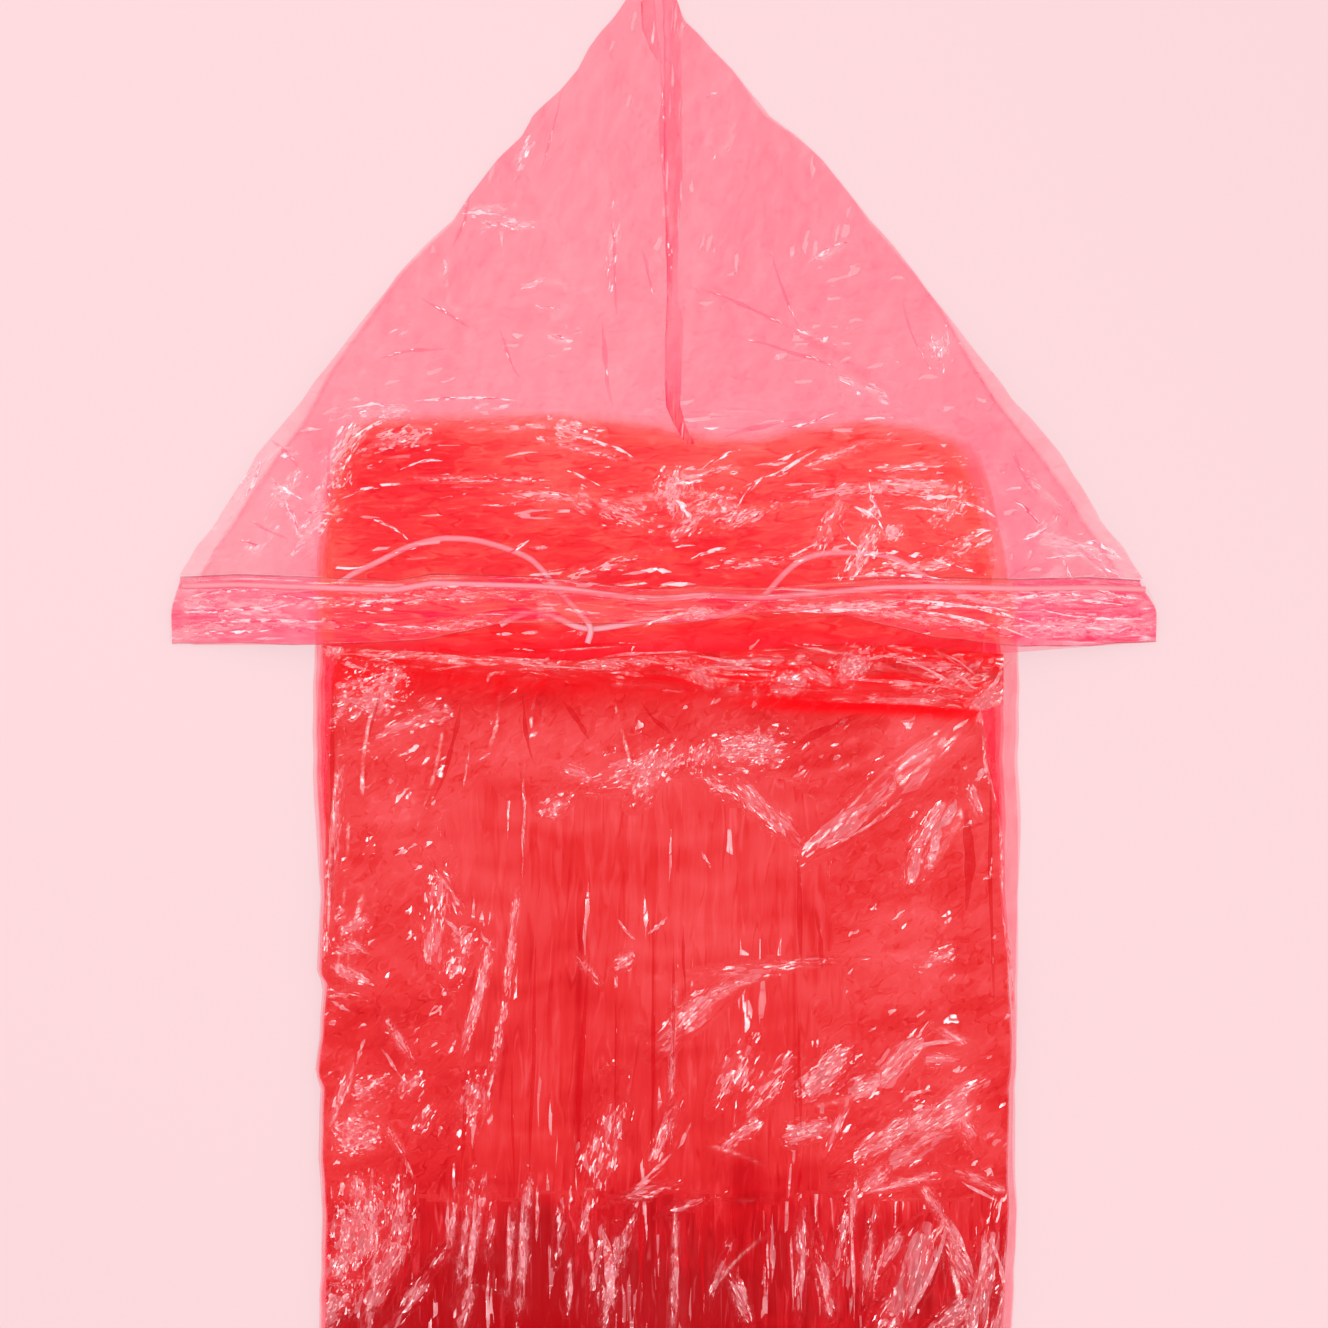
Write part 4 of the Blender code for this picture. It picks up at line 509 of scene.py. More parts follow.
def beyond_body(x, y):
    """How far a point is outside the body's upper part."""
    left = between(BODY_EDGE, "y", "left", y)
    right = between(BODY_EDGE, "y", "right", y)
    return np.maximum(np.maximum(left - x, x - right), y - SHOULDER_Y)


def spaced(start, end, step):
    """Evenly spaced values from start to end, about one step apart."""
    return np.linspace(start, end, int(round(abs(end - start) / step)) + 1)


def add_object(name, data):
    """An object of the data, in the scene."""
    obj = bpy.data.objects.new(name, data)
    bpy.context.scene.collection.objects.link(obj)
    return obj


# ---------------------------------------------------------------- camera and light

LENS = 85.0
SENSOR = 36.0
CLIP_END = 60.0  # metres
CAMERA = Vector((0.0, PHOTO_MIDDLE_Y, PHOTO_WIDTH * LENS / SENSOR))

# The softboxes round the camera, in drawing millimetres: each is a wide soft panel of panel
# watts with a small bright core of core watts.
Softbox = namedtuple("Softbox", "name x y core panel")
SOFTBOXES = [
    Softbox("west", -1800.0, -250.0, 8.6, 11.8),
    Softbox("east", 1800.0, -200.0, 8.6, 11.3),
    Softbox("north", 100.0, 1900.0, 8.6, 11.3),
    Softbox("south", -50.0, -2300.0, 7.6, 11.3),
    Softbox("northwest", -1350.0, 1400.0, 8.6, 11.8),
    Softbox("southeast", 1450.0, -1700.0, 8.6, 11.3),
]
LIGHT_Z = 2300.0
LIGHT_COLOUR = (1.0, 0.93, 0.94)
CORE_SIZE = 0.3  # metres
PANEL_SIZE = 0.9
ROOM_LIGHT = 0.4
ROOM_DARK = 0.01
DARK_FROM = 0.72  # how far up, from -1 to 1, the room starts to be dark, and is dark
DARK_TO = 0.9


def add_camera():
    """Straight above the middle of what the photo shows."""
    camera = add_object("camera", bpy.data.cameras.new("camera"))
    camera.data.lens = LENS
    camera.data.sensor_width = SENSOR
    camera.data.clip_end = CLIP_END
    camera.location = (ORIGIN_X + CAMERA.x * MM, ORIGIN_Y + CAMERA.y * MM, CAMERA.z * MM)
    bpy.context.scene.camera = camera


def add_area_light(name, box, size, power):
    """A square light over a softbox's place, turned to the drawing's origin."""
    light = bpy.data.lights.new(name, "AREA")
    light.shape = "SQUARE"
    light.size = size
    light.energy = power
    light.color = LIGHT_COLOUR
    obj = add_object(name, light)
    obj.location = (ORIGIN_X + box.x * MM, ORIGIN_Y + box.y * MM, LIGHT_Z * MM)
    target = Vector((ORIGIN_X, ORIGIN_Y, 0.0))
    obj.rotation_euler = (target - obj.location).to_track_quat("-Z", "Y").to_euler()


def add_lights():
    """The softboxes and the room: white walls, and dark straight above."""
    for box in SOFTBOXES:
        add_area_light(f"core_{box.name}", box, CORE_SIZE, box.core)
        add_area_light(f"panel_{box.name}", box, PANEL_SIZE, box.panel)
    world = bpy.data.worlds.new("studio")
    world.use_nodes = True
    tree = world.node_tree
    background = tree.nodes["Background"]
    background.inputs["Color"].default_value = (*LIGHT_COLOUR, 1.0)
    split = tree.nodes.new("ShaderNodeSeparateXYZ")
    tree.links.new(tree.nodes.new("ShaderNodeTexCoord").outputs["Generated"], split.inputs[0])
    above = tree.nodes.new("ShaderNodeMapRange")
    above.interpolation_type = "SMOOTHSTEP"
    above.inputs["From Min"].default_value = DARK_FROM
    above.inputs["From Max"].default_value = DARK_TO
    above.inputs["To Min"].default_value = ROOM_LIGHT
    above.inputs["To Max"].default_value = ROOM_DARK
    tree.links.new(split.outputs["Z"], above.inputs["Value"])
    tree.links.new(above.outputs[0], background.inputs["Strength"])
    world.cycles.sampling_method = "NONE"
    bpy.context.scene.world = world


def slopes_that_shine(x, y):
    """For each softbox, the slope along x and along y that throws its light at the camera."""
    spot = Vector((x, y, 0.0))
    found = []
    for box in SOFTBOXES:
        half = (CAMERA - spot).normalized() + (Vector((box.x, box.y, LIGHT_Z)) - spot).normalized()
        found.append((-half.x / half.z, -half.y / half.z))
    return found


# ---------------------------------------------------------------- noise


def drawn(column, row, seed):
    """A repeatable number from 0 to 1 for each place of a lattice."""
    mixed = (column * 374761393 + row * 668265263 + seed * 974634777) & 0xFFFFFFFF
    mixed = ((mixed ^ (mixed >> 13)) * 1274126177) & 0xFFFFFFFF
    return ((mixed ^ (mixed >> 16)) & 0xFFFF) / 65535.0


def soft_noise(x, y, size, seed):
    """Smooth noise from 0 to 1, whose lumps are about size across."""
    u = x / size
    v = y / size
    column = np.floor(u).astype(np.int64)
    row = np.floor(v).astype(np.int64)
    u = u - column
    v = v - row
    u = u * u * (3 - 2 * u)
    v = v * v * (3 - 2 * v)
    low = drawn(column, row, seed) * (1 - u) + drawn(column + 1, row, seed) * u
    high = drawn(column, row + 1, seed) * (1 - u) + drawn(column + 1, row + 1, seed) * u
    return low * (1 - v) + high * v


def facets(x, y, size, seed, angle=0.0, stretch=1.0):
    """Flat facets between random heights from -1 to 1: the way that crumpled film folds."""
    a = math.radians(angle)
    along = (x * math.cos(a) + y * math.sin(a)) / stretch
    across = y * math.cos(a) - x * math.sin(a)
    bend = size * 1.1
    along = along + bend * soft_noise(x, y, size * 2.1, seed + 11)
    across = across + bend * soft_noise(x, y, size * 1.9, seed + 12)
    u = (along + across * 0.577) / size
    v = across * 1.155 / size
    column = np.floor(u).astype(np.int64)
    row = np.floor(v).astype(np.int64)
    u = u - column
    v = v - row
    right = drawn(column + 1, row, seed)
    up = drawn(column, row + 1, seed)
    near = drawn(column, row, seed) * (1 - u - v) + right * u + up * v
    far = drawn(column + 1, row + 1, seed) * (u + v - 1) + up * (1 - u) + right * (1 - v)
    return np.where(u + v > 1, far, near) * 2 - 1


# ---------------------------------------------------------------- relief of the film

FADE_SHARE = 0.16  # over this share of its length at each end a crease sinks
NARROWEST = 2.6  # a flank that the mesh can hold
CREASE_SHARE = 0.6


def crease_heights(creases, x, y):
    """How far the creases lift the film, and how much they darken it."""
    lift = np.zeros_like(x)
    tone = np.zeros_like(x)
    for crease in creases:
        dx = crease.x1 - crease.x0
        dy = crease.y1 - crease.y0
        length = math.hypot(dx, dy)
        share = ((x - crease.x0) * dx + (y - crease.y0) * dy) / (length * length)
        aside = ((y - crease.y0) * dx - (x - crease.x0) * dy) / length
        aside = aside - crease.bow * 4 * share * (1 - share)
        fade = np.clip(np.minimum(share, 1 - share) / FADE_SHARE, 0.0, 1.0)
        wide = max(crease.wide, NARROWEST)
        narrow = max(crease.narrow, NARROWEST)
        width = np.where(aside > 0, wide, narrow) * (0.5 + 0.5 * fade)
        near = np.clip(1 - np.abs(aside) / width, 0.0, 1.0)
        lift = np.maximum(lift, CREASE_SHARE * crease.rise * fade * near * (2 - near))
        shaded = np.clip(1 - np.abs(aside + crease.narrow * 0.5) / (crease.narrow * 1.6), 0.0, 1.0)
        tone = np.maximum(tone, crease.tone * fade * shaded)
    return lift, tone


def cell_places(x, y, size, angle, stretch, seed=0):
    """Places on the lattice of the facets: one unit is a facet, drawn out along an angle from x."""
    a = math.radians(angle)
    along = (x * math.cos(a) + y * math.sin(a)) / (size * stretch)
    across = (y * math.cos(a) - x * math.sin(a)) / size
    return along + 37.0 * seed, across + 23.0 * seed


WIDE_FACETS = 0.7  # how far the film's own facets lift it, wide ones and narrow ones
NARROW_FACETS = 0.16
HALO = 0.13  # how strongly the film glitters round a patch
LEAST_STRETCH = 1.3  # how much longer than wide the facets of a patch are
MOST_STRETCH = 3.4
PATCH_CELL = 0.55  # a coarse facet's width, as a share of a patch's strip

# A region where the facets of a film lie one way: its mask, from 0 to 1, and the lattice there.
Weave = namedtuple("Weave", "mask size angle stretch")
CRUMPLED = Weave(None, 5.5, 38.0, 1.6)
HIDDEN = Weave(None, 9.0, 88.0, 3.0)


def patch_mask(patch, x, y, seed):
    """How strongly a patch glitters at each point."""
    a = math.radians(patch.angle)
    dx = x - patch.x
    dy = y - patch.y
    along = (dx * math.cos(a) + dy * math.sin(a)) / patch.half_length
    across = (dy * math.cos(a) - dx * math.sin(a)) / patch.half_width
    away = (np.abs(along) ** 2.2 + np.abs(across) ** 2.2) ** (1 / 2.2)
    ragged = 0.9 * (soft_noise(x, y, patch.strip * 2.5, seed) - 0.5)
    return ramp(away + ragged, 0.2, 1.5, 1.0, 0.0)


def best_softbox(patch):
    """The slope that throws light at the camera, from the softbox that a patch faces best."""
    a = math.radians(patch.angle)
    found = []
    for slope_x, slope_y in slopes_that_shine(patch.x, patch.y):
        along = slope_x * math.cos(a) + slope_y * math.sin(a)
        found.append((abs(along), slope_x, slope_y))
    return min(found)[1:]


def film_surface(x, y, weaves, creases, patches, seed):
    """A film's relief and how its facets lie, at every point, as a dictionary of arrays."""
    height, tone = crease_heights(creases, x, y)
    height = height + WIDE_FACETS * facets(x, y, 27.0, seed + 1)
    height = height + NARROW_FACETS * facets(x, y, 9.0, seed + 2)
    base = weaves[0]
    along, across = cell_places(x, y, base.size, base.angle, base.stretch, 1)
    for number, weave in enumerate(weaves[1:]):
        here = weave.mask > 0.5
        one, other = cell_places(x, y, weave.size, weave.angle, weave.stretch, 2 + number)
        along = np.where(here, one, along)
        across = np.where(here, other, across)
    # Away from the patches a stray facet throws the light of the nearest softbox.
    tilts = np.array([slopes_that_shine(spot, -150.0) for spot in (-150.0, 150.0)])
    side = ramp(x, -40.0, 40.0, 0.0, 1.0)
    picked = (soft_noise(x, y, 20.0, seed + 4) * 5.99).astype(int)
    tilt_x = tilts[0, :, 0][picked] * (1 - side) + tilts[1, :, 0][picked] * side
    tilt_y = tilts[0, :, 1][picked] * (1 - side) + tilts[1, :, 1][picked] * side
    shine = np.zeros_like(x)
    for number, patch in enumerate(patches):
        reach = patch.half_length * 1.7 + 2
        near = (np.abs(x - patch.x) < reach) & (np.abs(y - patch.y) < reach)
        if not near.any():
            continue
        mask = patch_mask(patch, x[near], y[near], seed + 10 * number)
        strength = mask * (0.25 + 0.75 * patch.gloss)
        wins = strength > shine[near]
        stretch = 0.85 * patch.half_length / patch.half_width
        stretch = min(max(stretch, LEAST_STRETCH), MOST_STRETCH)
        size = PATCH_CELL * patch.strip
        one, other = cell_places(x[near], y[near], size, patch.angle, stretch, 5 + number)
        slope_x, slope_y = best_softbox(patch)
        for values, wanted in (
            (along, one),
            (across, other),
            (tilt_x, np.full_like(mask, slope_x)),
            (tilt_y, np.full_like(mask, slope_y)),
            (shine, strength),
        ):
            values[near] = np.where(wins, wanted, values[near])
    # Round the patches lies a halo of sparse facets.
    for patch in patches:
        reach = 1.5 * patch.half_length + 6
        near = (np.abs(x - patch.x) < reach) & (np.abs(y - patch.y) < reach)
        away = np.hypot(x[near] - patch.x, y[near] - patch.y) / reach
        halo = HALO * patch.gloss * ramp(away, 0.3, 1.0, 1.0, 0.0)
        shine[near] = np.maximum(shine[near], halo)
    return {
        "height": height,
        "tone": tone,
        "shine": shine,
        "cells": (along, across),
        "tilt": (tilt_x, tilt_y),
    }


def film_masks(surface, tone, glow, alpha, crumple, sparkle, streaks, warm=0.0):
    """The attributes that a film's shader reads."""
    shine = surface["shine"]
    return {
        "film_mask": (tone - 0.6 * surface["tone"], glow, np.maximum(shine, sparkle)),
        "film_grain": (np.maximum(crumple, 0.9 * shine), alpha, streaks),
        "film_cells": surface["cells"],
        "film_tilt": (*surface["tilt"], warm),
    }


# ---------------------------------------------------------------- meshes


def add_grid(name, x, y, z, masks, closed=False, parts=1):
    """A film through rows of points. closed joins the last row to the first, as in a tube, and
    parts is how many loose strips, each of as many rows, the points hold."""
    rows, columns = x.shape
    points = np.stack([ORIGIN_X + x * MM, ORIGIN_Y + y * MM, z * MM], axis=-1).reshape(-1, 3)
    index = np.arange(rows * columns).reshape(parts, rows // parts, columns)
    if closed:
        index = np.concatenate([index, index[:, :1]], axis=1)
    corners = [index[:, :-1, :-1], index[:, :-1, 1:], index[:, 1:, 1:], index[:, 1:, :-1]]
    quads = np.stack(corners, axis=-1).reshape(-1, 4)
    mesh = bpy.data.meshes.new(name)
    mesh.from_pydata(points.tolist(), [], quads.tolist())
    mesh.shade_smooth()
    for label, channels in masks.items():
        layer = mesh.attributes.new(label, "FLOAT_COLOR", "POINT")
        colours = np.ones((rows * columns, 4), np.float32)
        for number, channel in enumerate(channels):
            colours[:, number] = np.broadcast_to(channel, x.shape).reshape(-1)
        layer.data.foreach_set("color", colours.reshape(-1))
    return add_object(name, mesh)


def wear(obj, look, node):
    """Gives a piece its material, parents it to the body that it rides on, and hides the model's
    part named node.
    """
    obj.data.materials.append(look)
    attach(obj, BODY)
    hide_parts(node)
    return obj


# ---------------------------------------------------------------- materials


class Nodes:
    """A small helper that adds and links shader nodes."""

    def __init__(self, name):
        self.material = bpy.data.materials.new(name)
        self.material.use_nodes = True
        self.tree = self.material.node_tree
        self.shader = self.tree.nodes["Principled BSDF"]

    def add(self, kind, **settings):
        node = self.tree.nodes.new(kind)
        for name, value in settings.items():
            setattr(node, name, value)
        return node

    def link(self, source, target):
        self.tree.links.new(source, target)

    def math(self, operation, *values, clamp=False):
        """A Math node. Values are sockets or numbers."""
        node = self.add("ShaderNodeMath", operation=operation, use_clamp=clamp)
        for socket, value in zip(node.inputs, values):
            if isinstance(value, (int, float)):
                socket.default_value = value
            else:
                self.link(value, socket)
        return node.outputs[0]

    def mix(self, share, one, other, kind="RGBA"):
        """A mix of two colours, or of two numbers where kind is FLOAT."""
        node = self.add("ShaderNodeMix", data_type=kind)
        places = (0, 6, 7) if kind == "RGBA" else (0, 2, 3)
        for place, value in zip(places, (share, one, other)):
            socket = node.inputs[place]
            if isinstance(value, (int, float)):
                socket.default_value = value
            elif isinstance(value, tuple):
                socket.default_value = (*value, 1.0)
            else:
                self.link(value, socket)
        return node.outputs[2 if kind == "RGBA" else 0]

    def colours(self, value, stops):
        """A colour ramp: stops are (place, colour)."""
        node = self.add("ShaderNodeValToRGB")
        elements = node.color_ramp.elements
        while len(elements) < len(stops):
            elements.new(0.5)
        for element, (place, colour) in zip(elements, stops):
            element.position = place
            element.color = (*colour, 1.0)
        self.link(value, node.inputs[0])
        return node.outputs[0]

    def vector(self, operation, *values):
        """A Vector Math node. Values are sockets or tuples; for SCALE the last may be a number."""
        node = self.add("ShaderNodeVectorMath", operation=operation)
        sockets = [node.inputs[0], node.inputs["Scale" if operation == "SCALE" else 1]]
        for socket, value in zip(sockets, values):
            if isinstance(value, (int, float, tuple)):
                socket.default_value = value
            else:
                self.link(value, socket)
        return node.outputs[0]

    def attribute(self, name):
        return self.add("ShaderNodeAttribute", attribute_name=name).outputs["Vector"]

    def noise(self, place, scale, detail, output=0):
        """Soft noise over two coordinates: its value, or with output 1 its colour."""
        node = self.add("ShaderNodeTexNoise", noise_dimensions="2D")
        node.inputs["Scale"].default_value = scale
        node.inputs["Detail"].default_value = detail
        self.link(place, node.inputs["Vector"])
        return node.outputs[output]

    def cells(self, place, scale):
        """Random facets over two coordinates: a random colour for each."""
        node = self.add("ShaderNodeTexVoronoi", voronoi_dimensions="2D")
        node.inputs["Scale"].default_value = scale
        self.link(place, node.inputs["Vector"])
        return node.outputs["Color"]

    def split(self, colour):
        node = self.add("ShaderNodeSeparateColor")
        self.link(colour, node.inputs[0])
        return node.outputs[:3]


HALF = (0.5, 0.5, 0.5)
TONE_SCALE = 1.5  # a tone of this much is the palest
YELLOWER = (1.0, 1.0, 0.08)  # what a fully warm colour is multiplied by
FINE = 3.1  # so many fine facets side by side make a coarse one
FINE_STRETCH = (0.6, 1.15, 1.0)
LONE_GLINTS = 0.011  # the share of fine facets that glint anywhere
TILT_COARSE = 0.2  # how steeply facets lie, where the film is most crumpled
TILT_FINE = 0.2
WARP_SCALE = 1.1  # the facets' outlines wander in lumps of this frequency, this far
WARP = 0.6
MOTTLE_SCALE = 1.6
LINE_SCALE = 0.5  # frequency of the noise whose levels are the wrinkle lines
LINE_TURNS = 3.0
DARK_LINE = (0.38, 0.13)  # level and width
# Level and width of the painted highlight line beside each dark wrinkle line.
HIGHLIGHT_LINE = (0.6, 0.11)
GLOSS = 0.17
FILM_IOR = 1.7


def film(name, stops, glow, shine_colour, shine_share, shine_alpha):
    """Crumpled film, of flat facets, with painted sheen and highlights where it shines. film_masks
    says what its attributes hold.
    """
    nodes = Nodes(name)
    do = nodes.math
    tone, glowing, shine = nodes.split(nodes.attribute("film_mask"))
    crumple, alpha, streaks = nodes.split(nodes.attribute("film_grain"))
    place = nodes.attribute("film_cells")
    warp = nodes.vector("SUBTRACT", nodes.noise(place, WARP_SCALE, 1.0, output=1), HALF)
    place = nodes.vector("ADD", place, nodes.vector("SCALE", warp, WARP))
    coarse = nodes.cells(place, 1.0)
    fine = nodes.cells(nodes.vector("MULTIPLY", place, FINE_STRETCH), FINE)
    coarse_x, _, coarse_z = nodes.split(coarse)
    fine_x, fine_y, fine_z = nodes.split(fine)
    mottle = nodes.noise(place, MOTTLE_SCALE, 2.0)

    # Wrinkle lines: a dark one with a painted highlight line beside it, here and there.
    turn = do("FRACT", do("MULTIPLY", nodes.noise(place, LINE_SCALE, 1.0), LINE_TURNS))
    here = do("MULTIPLY_ADD", do("SUBTRACT", mottle, 0.5), 7.0, 0.35)
    here = do("MINIMUM", do("MAXIMUM", here, 0.0), 1.0)
    lines = []
    for level, width in (DARK_LINE, HIGHLIGHT_LINE):
        away = do("ABSOLUTE", do("SUBTRACT", turn, level))
        away = do("DIVIDE", away, width, clamp=True)
        lines.append(do("MULTIPLY", do("SUBTRACT", 1.0, away), here))
    dark_line, highlight_line = lines

    # Facets that catch a softbox, more of them where the film shines most: their normals lean to
    # it, and below they are also painted pale and made more opaque.
    lit = do("LESS_THAN", coarse_z, shine)
    lit = do("MULTIPLY", lit, do("LESS_THAN", fine_z, do("MULTIPLY_ADD", shine, 0.55, 0.3)))
    lit = do("MAXIMUM", lit, do("LESS_THAN", fine_y, LONE_GLINTS))

    # Tone.
    change = do("MULTIPLY", do("SUBTRACT", coarse_x, 0.5), streaks)
    small = do("MULTIPLY", do("SUBTRACT", fine_y, 0.5), do("MULTIPLY", streaks, 0.35))
    change = do("ADD", change, small)
    dull = do("SUBTRACT", streaks, do("MULTIPLY", streaks, shine), clamp=True)
    change = do("SUBTRACT", change, do("MULTIPLY", dark_line, do("MULTIPLY", dull, 1.3)))
    change = do("ADD", change, do("MULTIPLY", highlight_line, do("MULTIPLY", streaks, 0.8)))
    tone = do("ADD", tone, change)
    tone = do("MULTIPLY_ADD", do("SUBTRACT", mottle, 0.5), 0.13, tone)
    tone = do("DIVIDE", tone, TONE_SCALE, clamp=True)
    colour = nodes.colours(tone, [(at / TONE_SCALE, shade) for at, shade in stops])
    colour = nodes.mix(glowing, colour, glow)
    tilting = nodes.attribute("film_tilt")
    yellower = nodes.vector("MULTIPLY", colour, YELLOWER)
    colour = nodes.mix(nodes.split(tilting)[2], colour, yellower)

    # Painted sheen and painted highlights where the film shines: pale colour on some facets, on the
    # wrinkles' edges, a little all over, and on the lit facets.
    pale = do("LESS_THAN", coarse_x, do("MULTIPLY_ADD", shine, 1.0, -0.12))
    pale = do("MULTIPLY", pale, do("MULTIPLY_ADD", fine_x, 0.35, 0.2))
    edges = do("MULTIPLY", do("MULTIPLY", highlight_line, shine), 1.1)
    painted_sheen = do("MULTIPLY", do("MULTIPLY", shine, mottle), 0.3)
    painted_sheen = do("MAXIMUM", do("MAXIMUM", painted_sheen, pale), edges)
    painted_sheen = do("MINIMUM", do("MAXIMUM", painted_sheen, do("MULTIPLY", lit, shine_share)), 0.9)
    colour = nodes.mix(painted_sheen, colour, shine_colour)
    nodes.link(colour, nodes.shader.inputs["Base Color"])

    # The way that each facet faces.
    steep = nodes.vector("SCALE", nodes.vector("SUBTRACT", coarse, HALF), 2 * TILT_COARSE)
    small = nodes.vector("SCALE", nodes.vector("SUBTRACT", fine, HALF), 2 * TILT_FINE)
    tilt = nodes.vector("SCALE", nodes.vector("ADD", steep, small), crumple)
    lean = nodes.vector("SCALE", tilting, do("MULTIPLY", lit, -1.0))
    tilt = nodes.vector("MULTIPLY", nodes.vector("ADD", tilt, lean), (1.0, 1.0, 0.0))
    normal = nodes.vector("ADD", nodes.add("ShaderNodeNewGeometry").outputs["Normal"], tilt)
    nodes.link(nodes.vector("NORMALIZE", normal), nodes.shader.inputs["Normal"])
    nodes.shader.inputs["Roughness"].default_value = GLOSS
    nodes.shader.inputs["IOR"].default_value = FILM_IOR
    # Lit facets turn more opaque, so that their painted highlight shows.
    opaque = do("MULTIPLY", lit, shine_alpha)
    thin = do("SUBTRACT", 1.0, do("MULTIPLY", change, 0.9))
    alpha = do("MULTIPLY", alpha, thin, clamp=True)
    nodes.link(nodes.mix(opaque, alpha, 1.0, "FLOAT"), nodes.shader.inputs["Alpha"])
    nodes.material.diffuse_color = (*stops[-2][1], 1.0)
    return nodes.material


def veil_film(name, stops):
    """The hidden layers' film, which only tints what is under it."""
    nodes = Nodes(name)
    tone = nodes.split(nodes.attribute("film_mask"))[0]
    alpha = nodes.split(nodes.attribute("film_grain"))[1]
    mottle = nodes.noise(nodes.attribute("film_cells"), MOTTLE_SCALE, 2.0)
    mottle = nodes.math("SUBTRACT", mottle, 0.5)
    tone = nodes.math("MULTIPLY_ADD", mottle, 0.2, tone)
    tone = nodes.math("DIVIDE", tone, TONE_SCALE, clamp=True)
    colour = nodes.colours(tone, [(at / TONE_SCALE, shade) for at, shade in stops])
    yellower = nodes.vector("MULTIPLY", colour, YELLOWER)
    colour = nodes.mix(nodes.split(nodes.attribute("film_tilt"))[2], colour, yellower)
    nodes.link(colour, nodes.shader.inputs["Base Color"])
    thin = nodes.math("MULTIPLY_ADD", mottle, -0.5, 1.0)
    nodes.link(nodes.math("MULTIPLY", alpha, thin, clamp=True), nodes.shader.inputs["Alpha"])
    nodes.shader.inputs["Roughness"].default_value = GLOSS
    nodes.material.diffuse_color = (*stops[-2][1], 1.0)
    return nodes.material


def plain_material(name, colour, roughness):
    """A softly mottled material of one colour."""
    nodes = Nodes(name)
    cloud = nodes.noise(nodes.add("ShaderNodeTexCoord").outputs["Object"], 160.0, 2.0)
    darker = tuple(part * 0.85 for part in colour)
    nodes.link(nodes.mix(cloud, darker, colour), nodes.shader.inputs["Base Color"])
    nodes.shader.inputs["Roughness"].default_value = roughness
    return nodes.material


BODY_STOPS = [
    (0.0, (0.42, 0.001, 0.004)),
    (0.35, (0.60, 0.006, 0.011)),
    (0.65, (0.74, 0.029, 0.031)),
    (1.0, (0.83, 0.082, 0.088)),
    (1.5, (0.93, 0.25, 0.28)),
]
GLOW_RED = (0.90, 0.002, 0.006)
# The pink of the body film's painted sheen and painted highlights.
PAINTED_SHEEN_PINK = (0.90, 0.30, 0.34)
BODY_LOOK = film("body_film", BODY_STOPS, GLOW_RED, PAINTED_SHEEN_PINK, 0.35, 0.0)
HOOD_STOPS = [
    (0.0, (0.95, 0.0, 0.03)),
    (0.5, (0.99, 0.002, 0.08)),
    (1.0, (0.99, 0.006, 0.12)),
    (1.5, (0.99, 0.2, 0.3)),
]
# The hood's film paints its sheen and highlights a paler pink and makes its lit facets more opaque.
HOOD_LOOK = film("hood_film", HOOD_STOPS, GLOW_RED, (0.95, 0.5, 0.55), 0.7, 0.6)
VEIL_LOOK = veil_film("veil_film", HOOD_STOPS)
# Long thin folds, whose glints are the brightest: partly real reflection, partly a near-white
# painted highlight.
BODY_FOLD_LOOK = film("body_fold_film", BODY_STOPS, GLOW_RED, (0.93, 0.45, 0.5), 0.6, 0.0)
HOOD_FOLD_LOOK = film("hood_fold_film", HOOD_STOPS, GLOW_RED, (0.98, 0.72, 0.76), 0.95, 0.9)
STRING_LOOK = plain_material("string_film", (0.95, 0.37, 0.43), 0.35)
CHANNEL_LOOK = plain_material("channel_string_film", (0.95, 0.29, 0.35), 0.5)

# What one layer of film hides of what is under it.
HOOD_ALPHA = 0.33
HEM_ALPHA = 0.36
SIDE_ALPHA = 0.31

# ---------------------------------------------------------------- body

# How far below the shoulder line the body's upper edge sags.
SagRow = namedtuple("SagRow", "x sag")
SHOULDER_SAG = table(SagRow, [
    (-200, 9), (-170, 3), (-128, 1), (-74, 0), (-40, 2), (-8, 6),
    (22, 13), (52, 16), (82, 9), (118, 4), (154, 8), (178, 16),
    (200, 26),
])

PHOTO_STEP = 2.2  # between the points of a film in the part that the photo shows
FAR_STEP = 6.0
FRONT_COLUMNS = 286
FRONT_SEED = 400

# The body's tone from its shoulder to its hem.
ToneRow = namedtuple("ToneRow", "y tone")
BODY_TONES = table(ToneRow, [
    (SHOULDER_Y, 1.3), (100, 1.2), (40, 1.2), (0, 1.1), (-20, 0.55), (-45, 0.7),
    (-80, 0.8), (-160, 0.76), (-230, 0.68), (-300, 0.62), (-328, 0.52), (-346, 0.36),
    (-380, 0.26), (-413, 0.16), (-470, 0.3), (-520, 0.55), (-606, 0.66), (-700, 0.6),
    (BODY_HEM_Y, 0.68),
])


def body_rows(photo_step, far_step):
    """Places down the body, closer together where the photo shows it."""
    seen = spaced(SHOULDER_Y - 1.0, PHOTO_BOTTOM_Y, photo_step)
    return np.concatenate([seen, spaced(PHOTO_BOTTOM_Y, BODY_HEM_Y + 1.0, far_step)[1:]])


def body_grid(rows, columns, left_inset, right_inset):
    """x and y of a grid that fills the body's outline, drawn in by the insets."""
    left = between(BODY_EDGE, "y", "left", rows) + left_inset
    right = between(BODY_EDGE, "y", "right", rows) - right_inset
    wave = soft_noise(rows, rows * 0, 14.0, 5) - 0.5
    share = np.linspace(0.0, 1.0, columns)
    x = (left + wave)[:, None] * (1 - share) + (right - wave)[:, None] * share
    return x[::-1], np.repeat(rows[::-1, None], columns, axis=1)


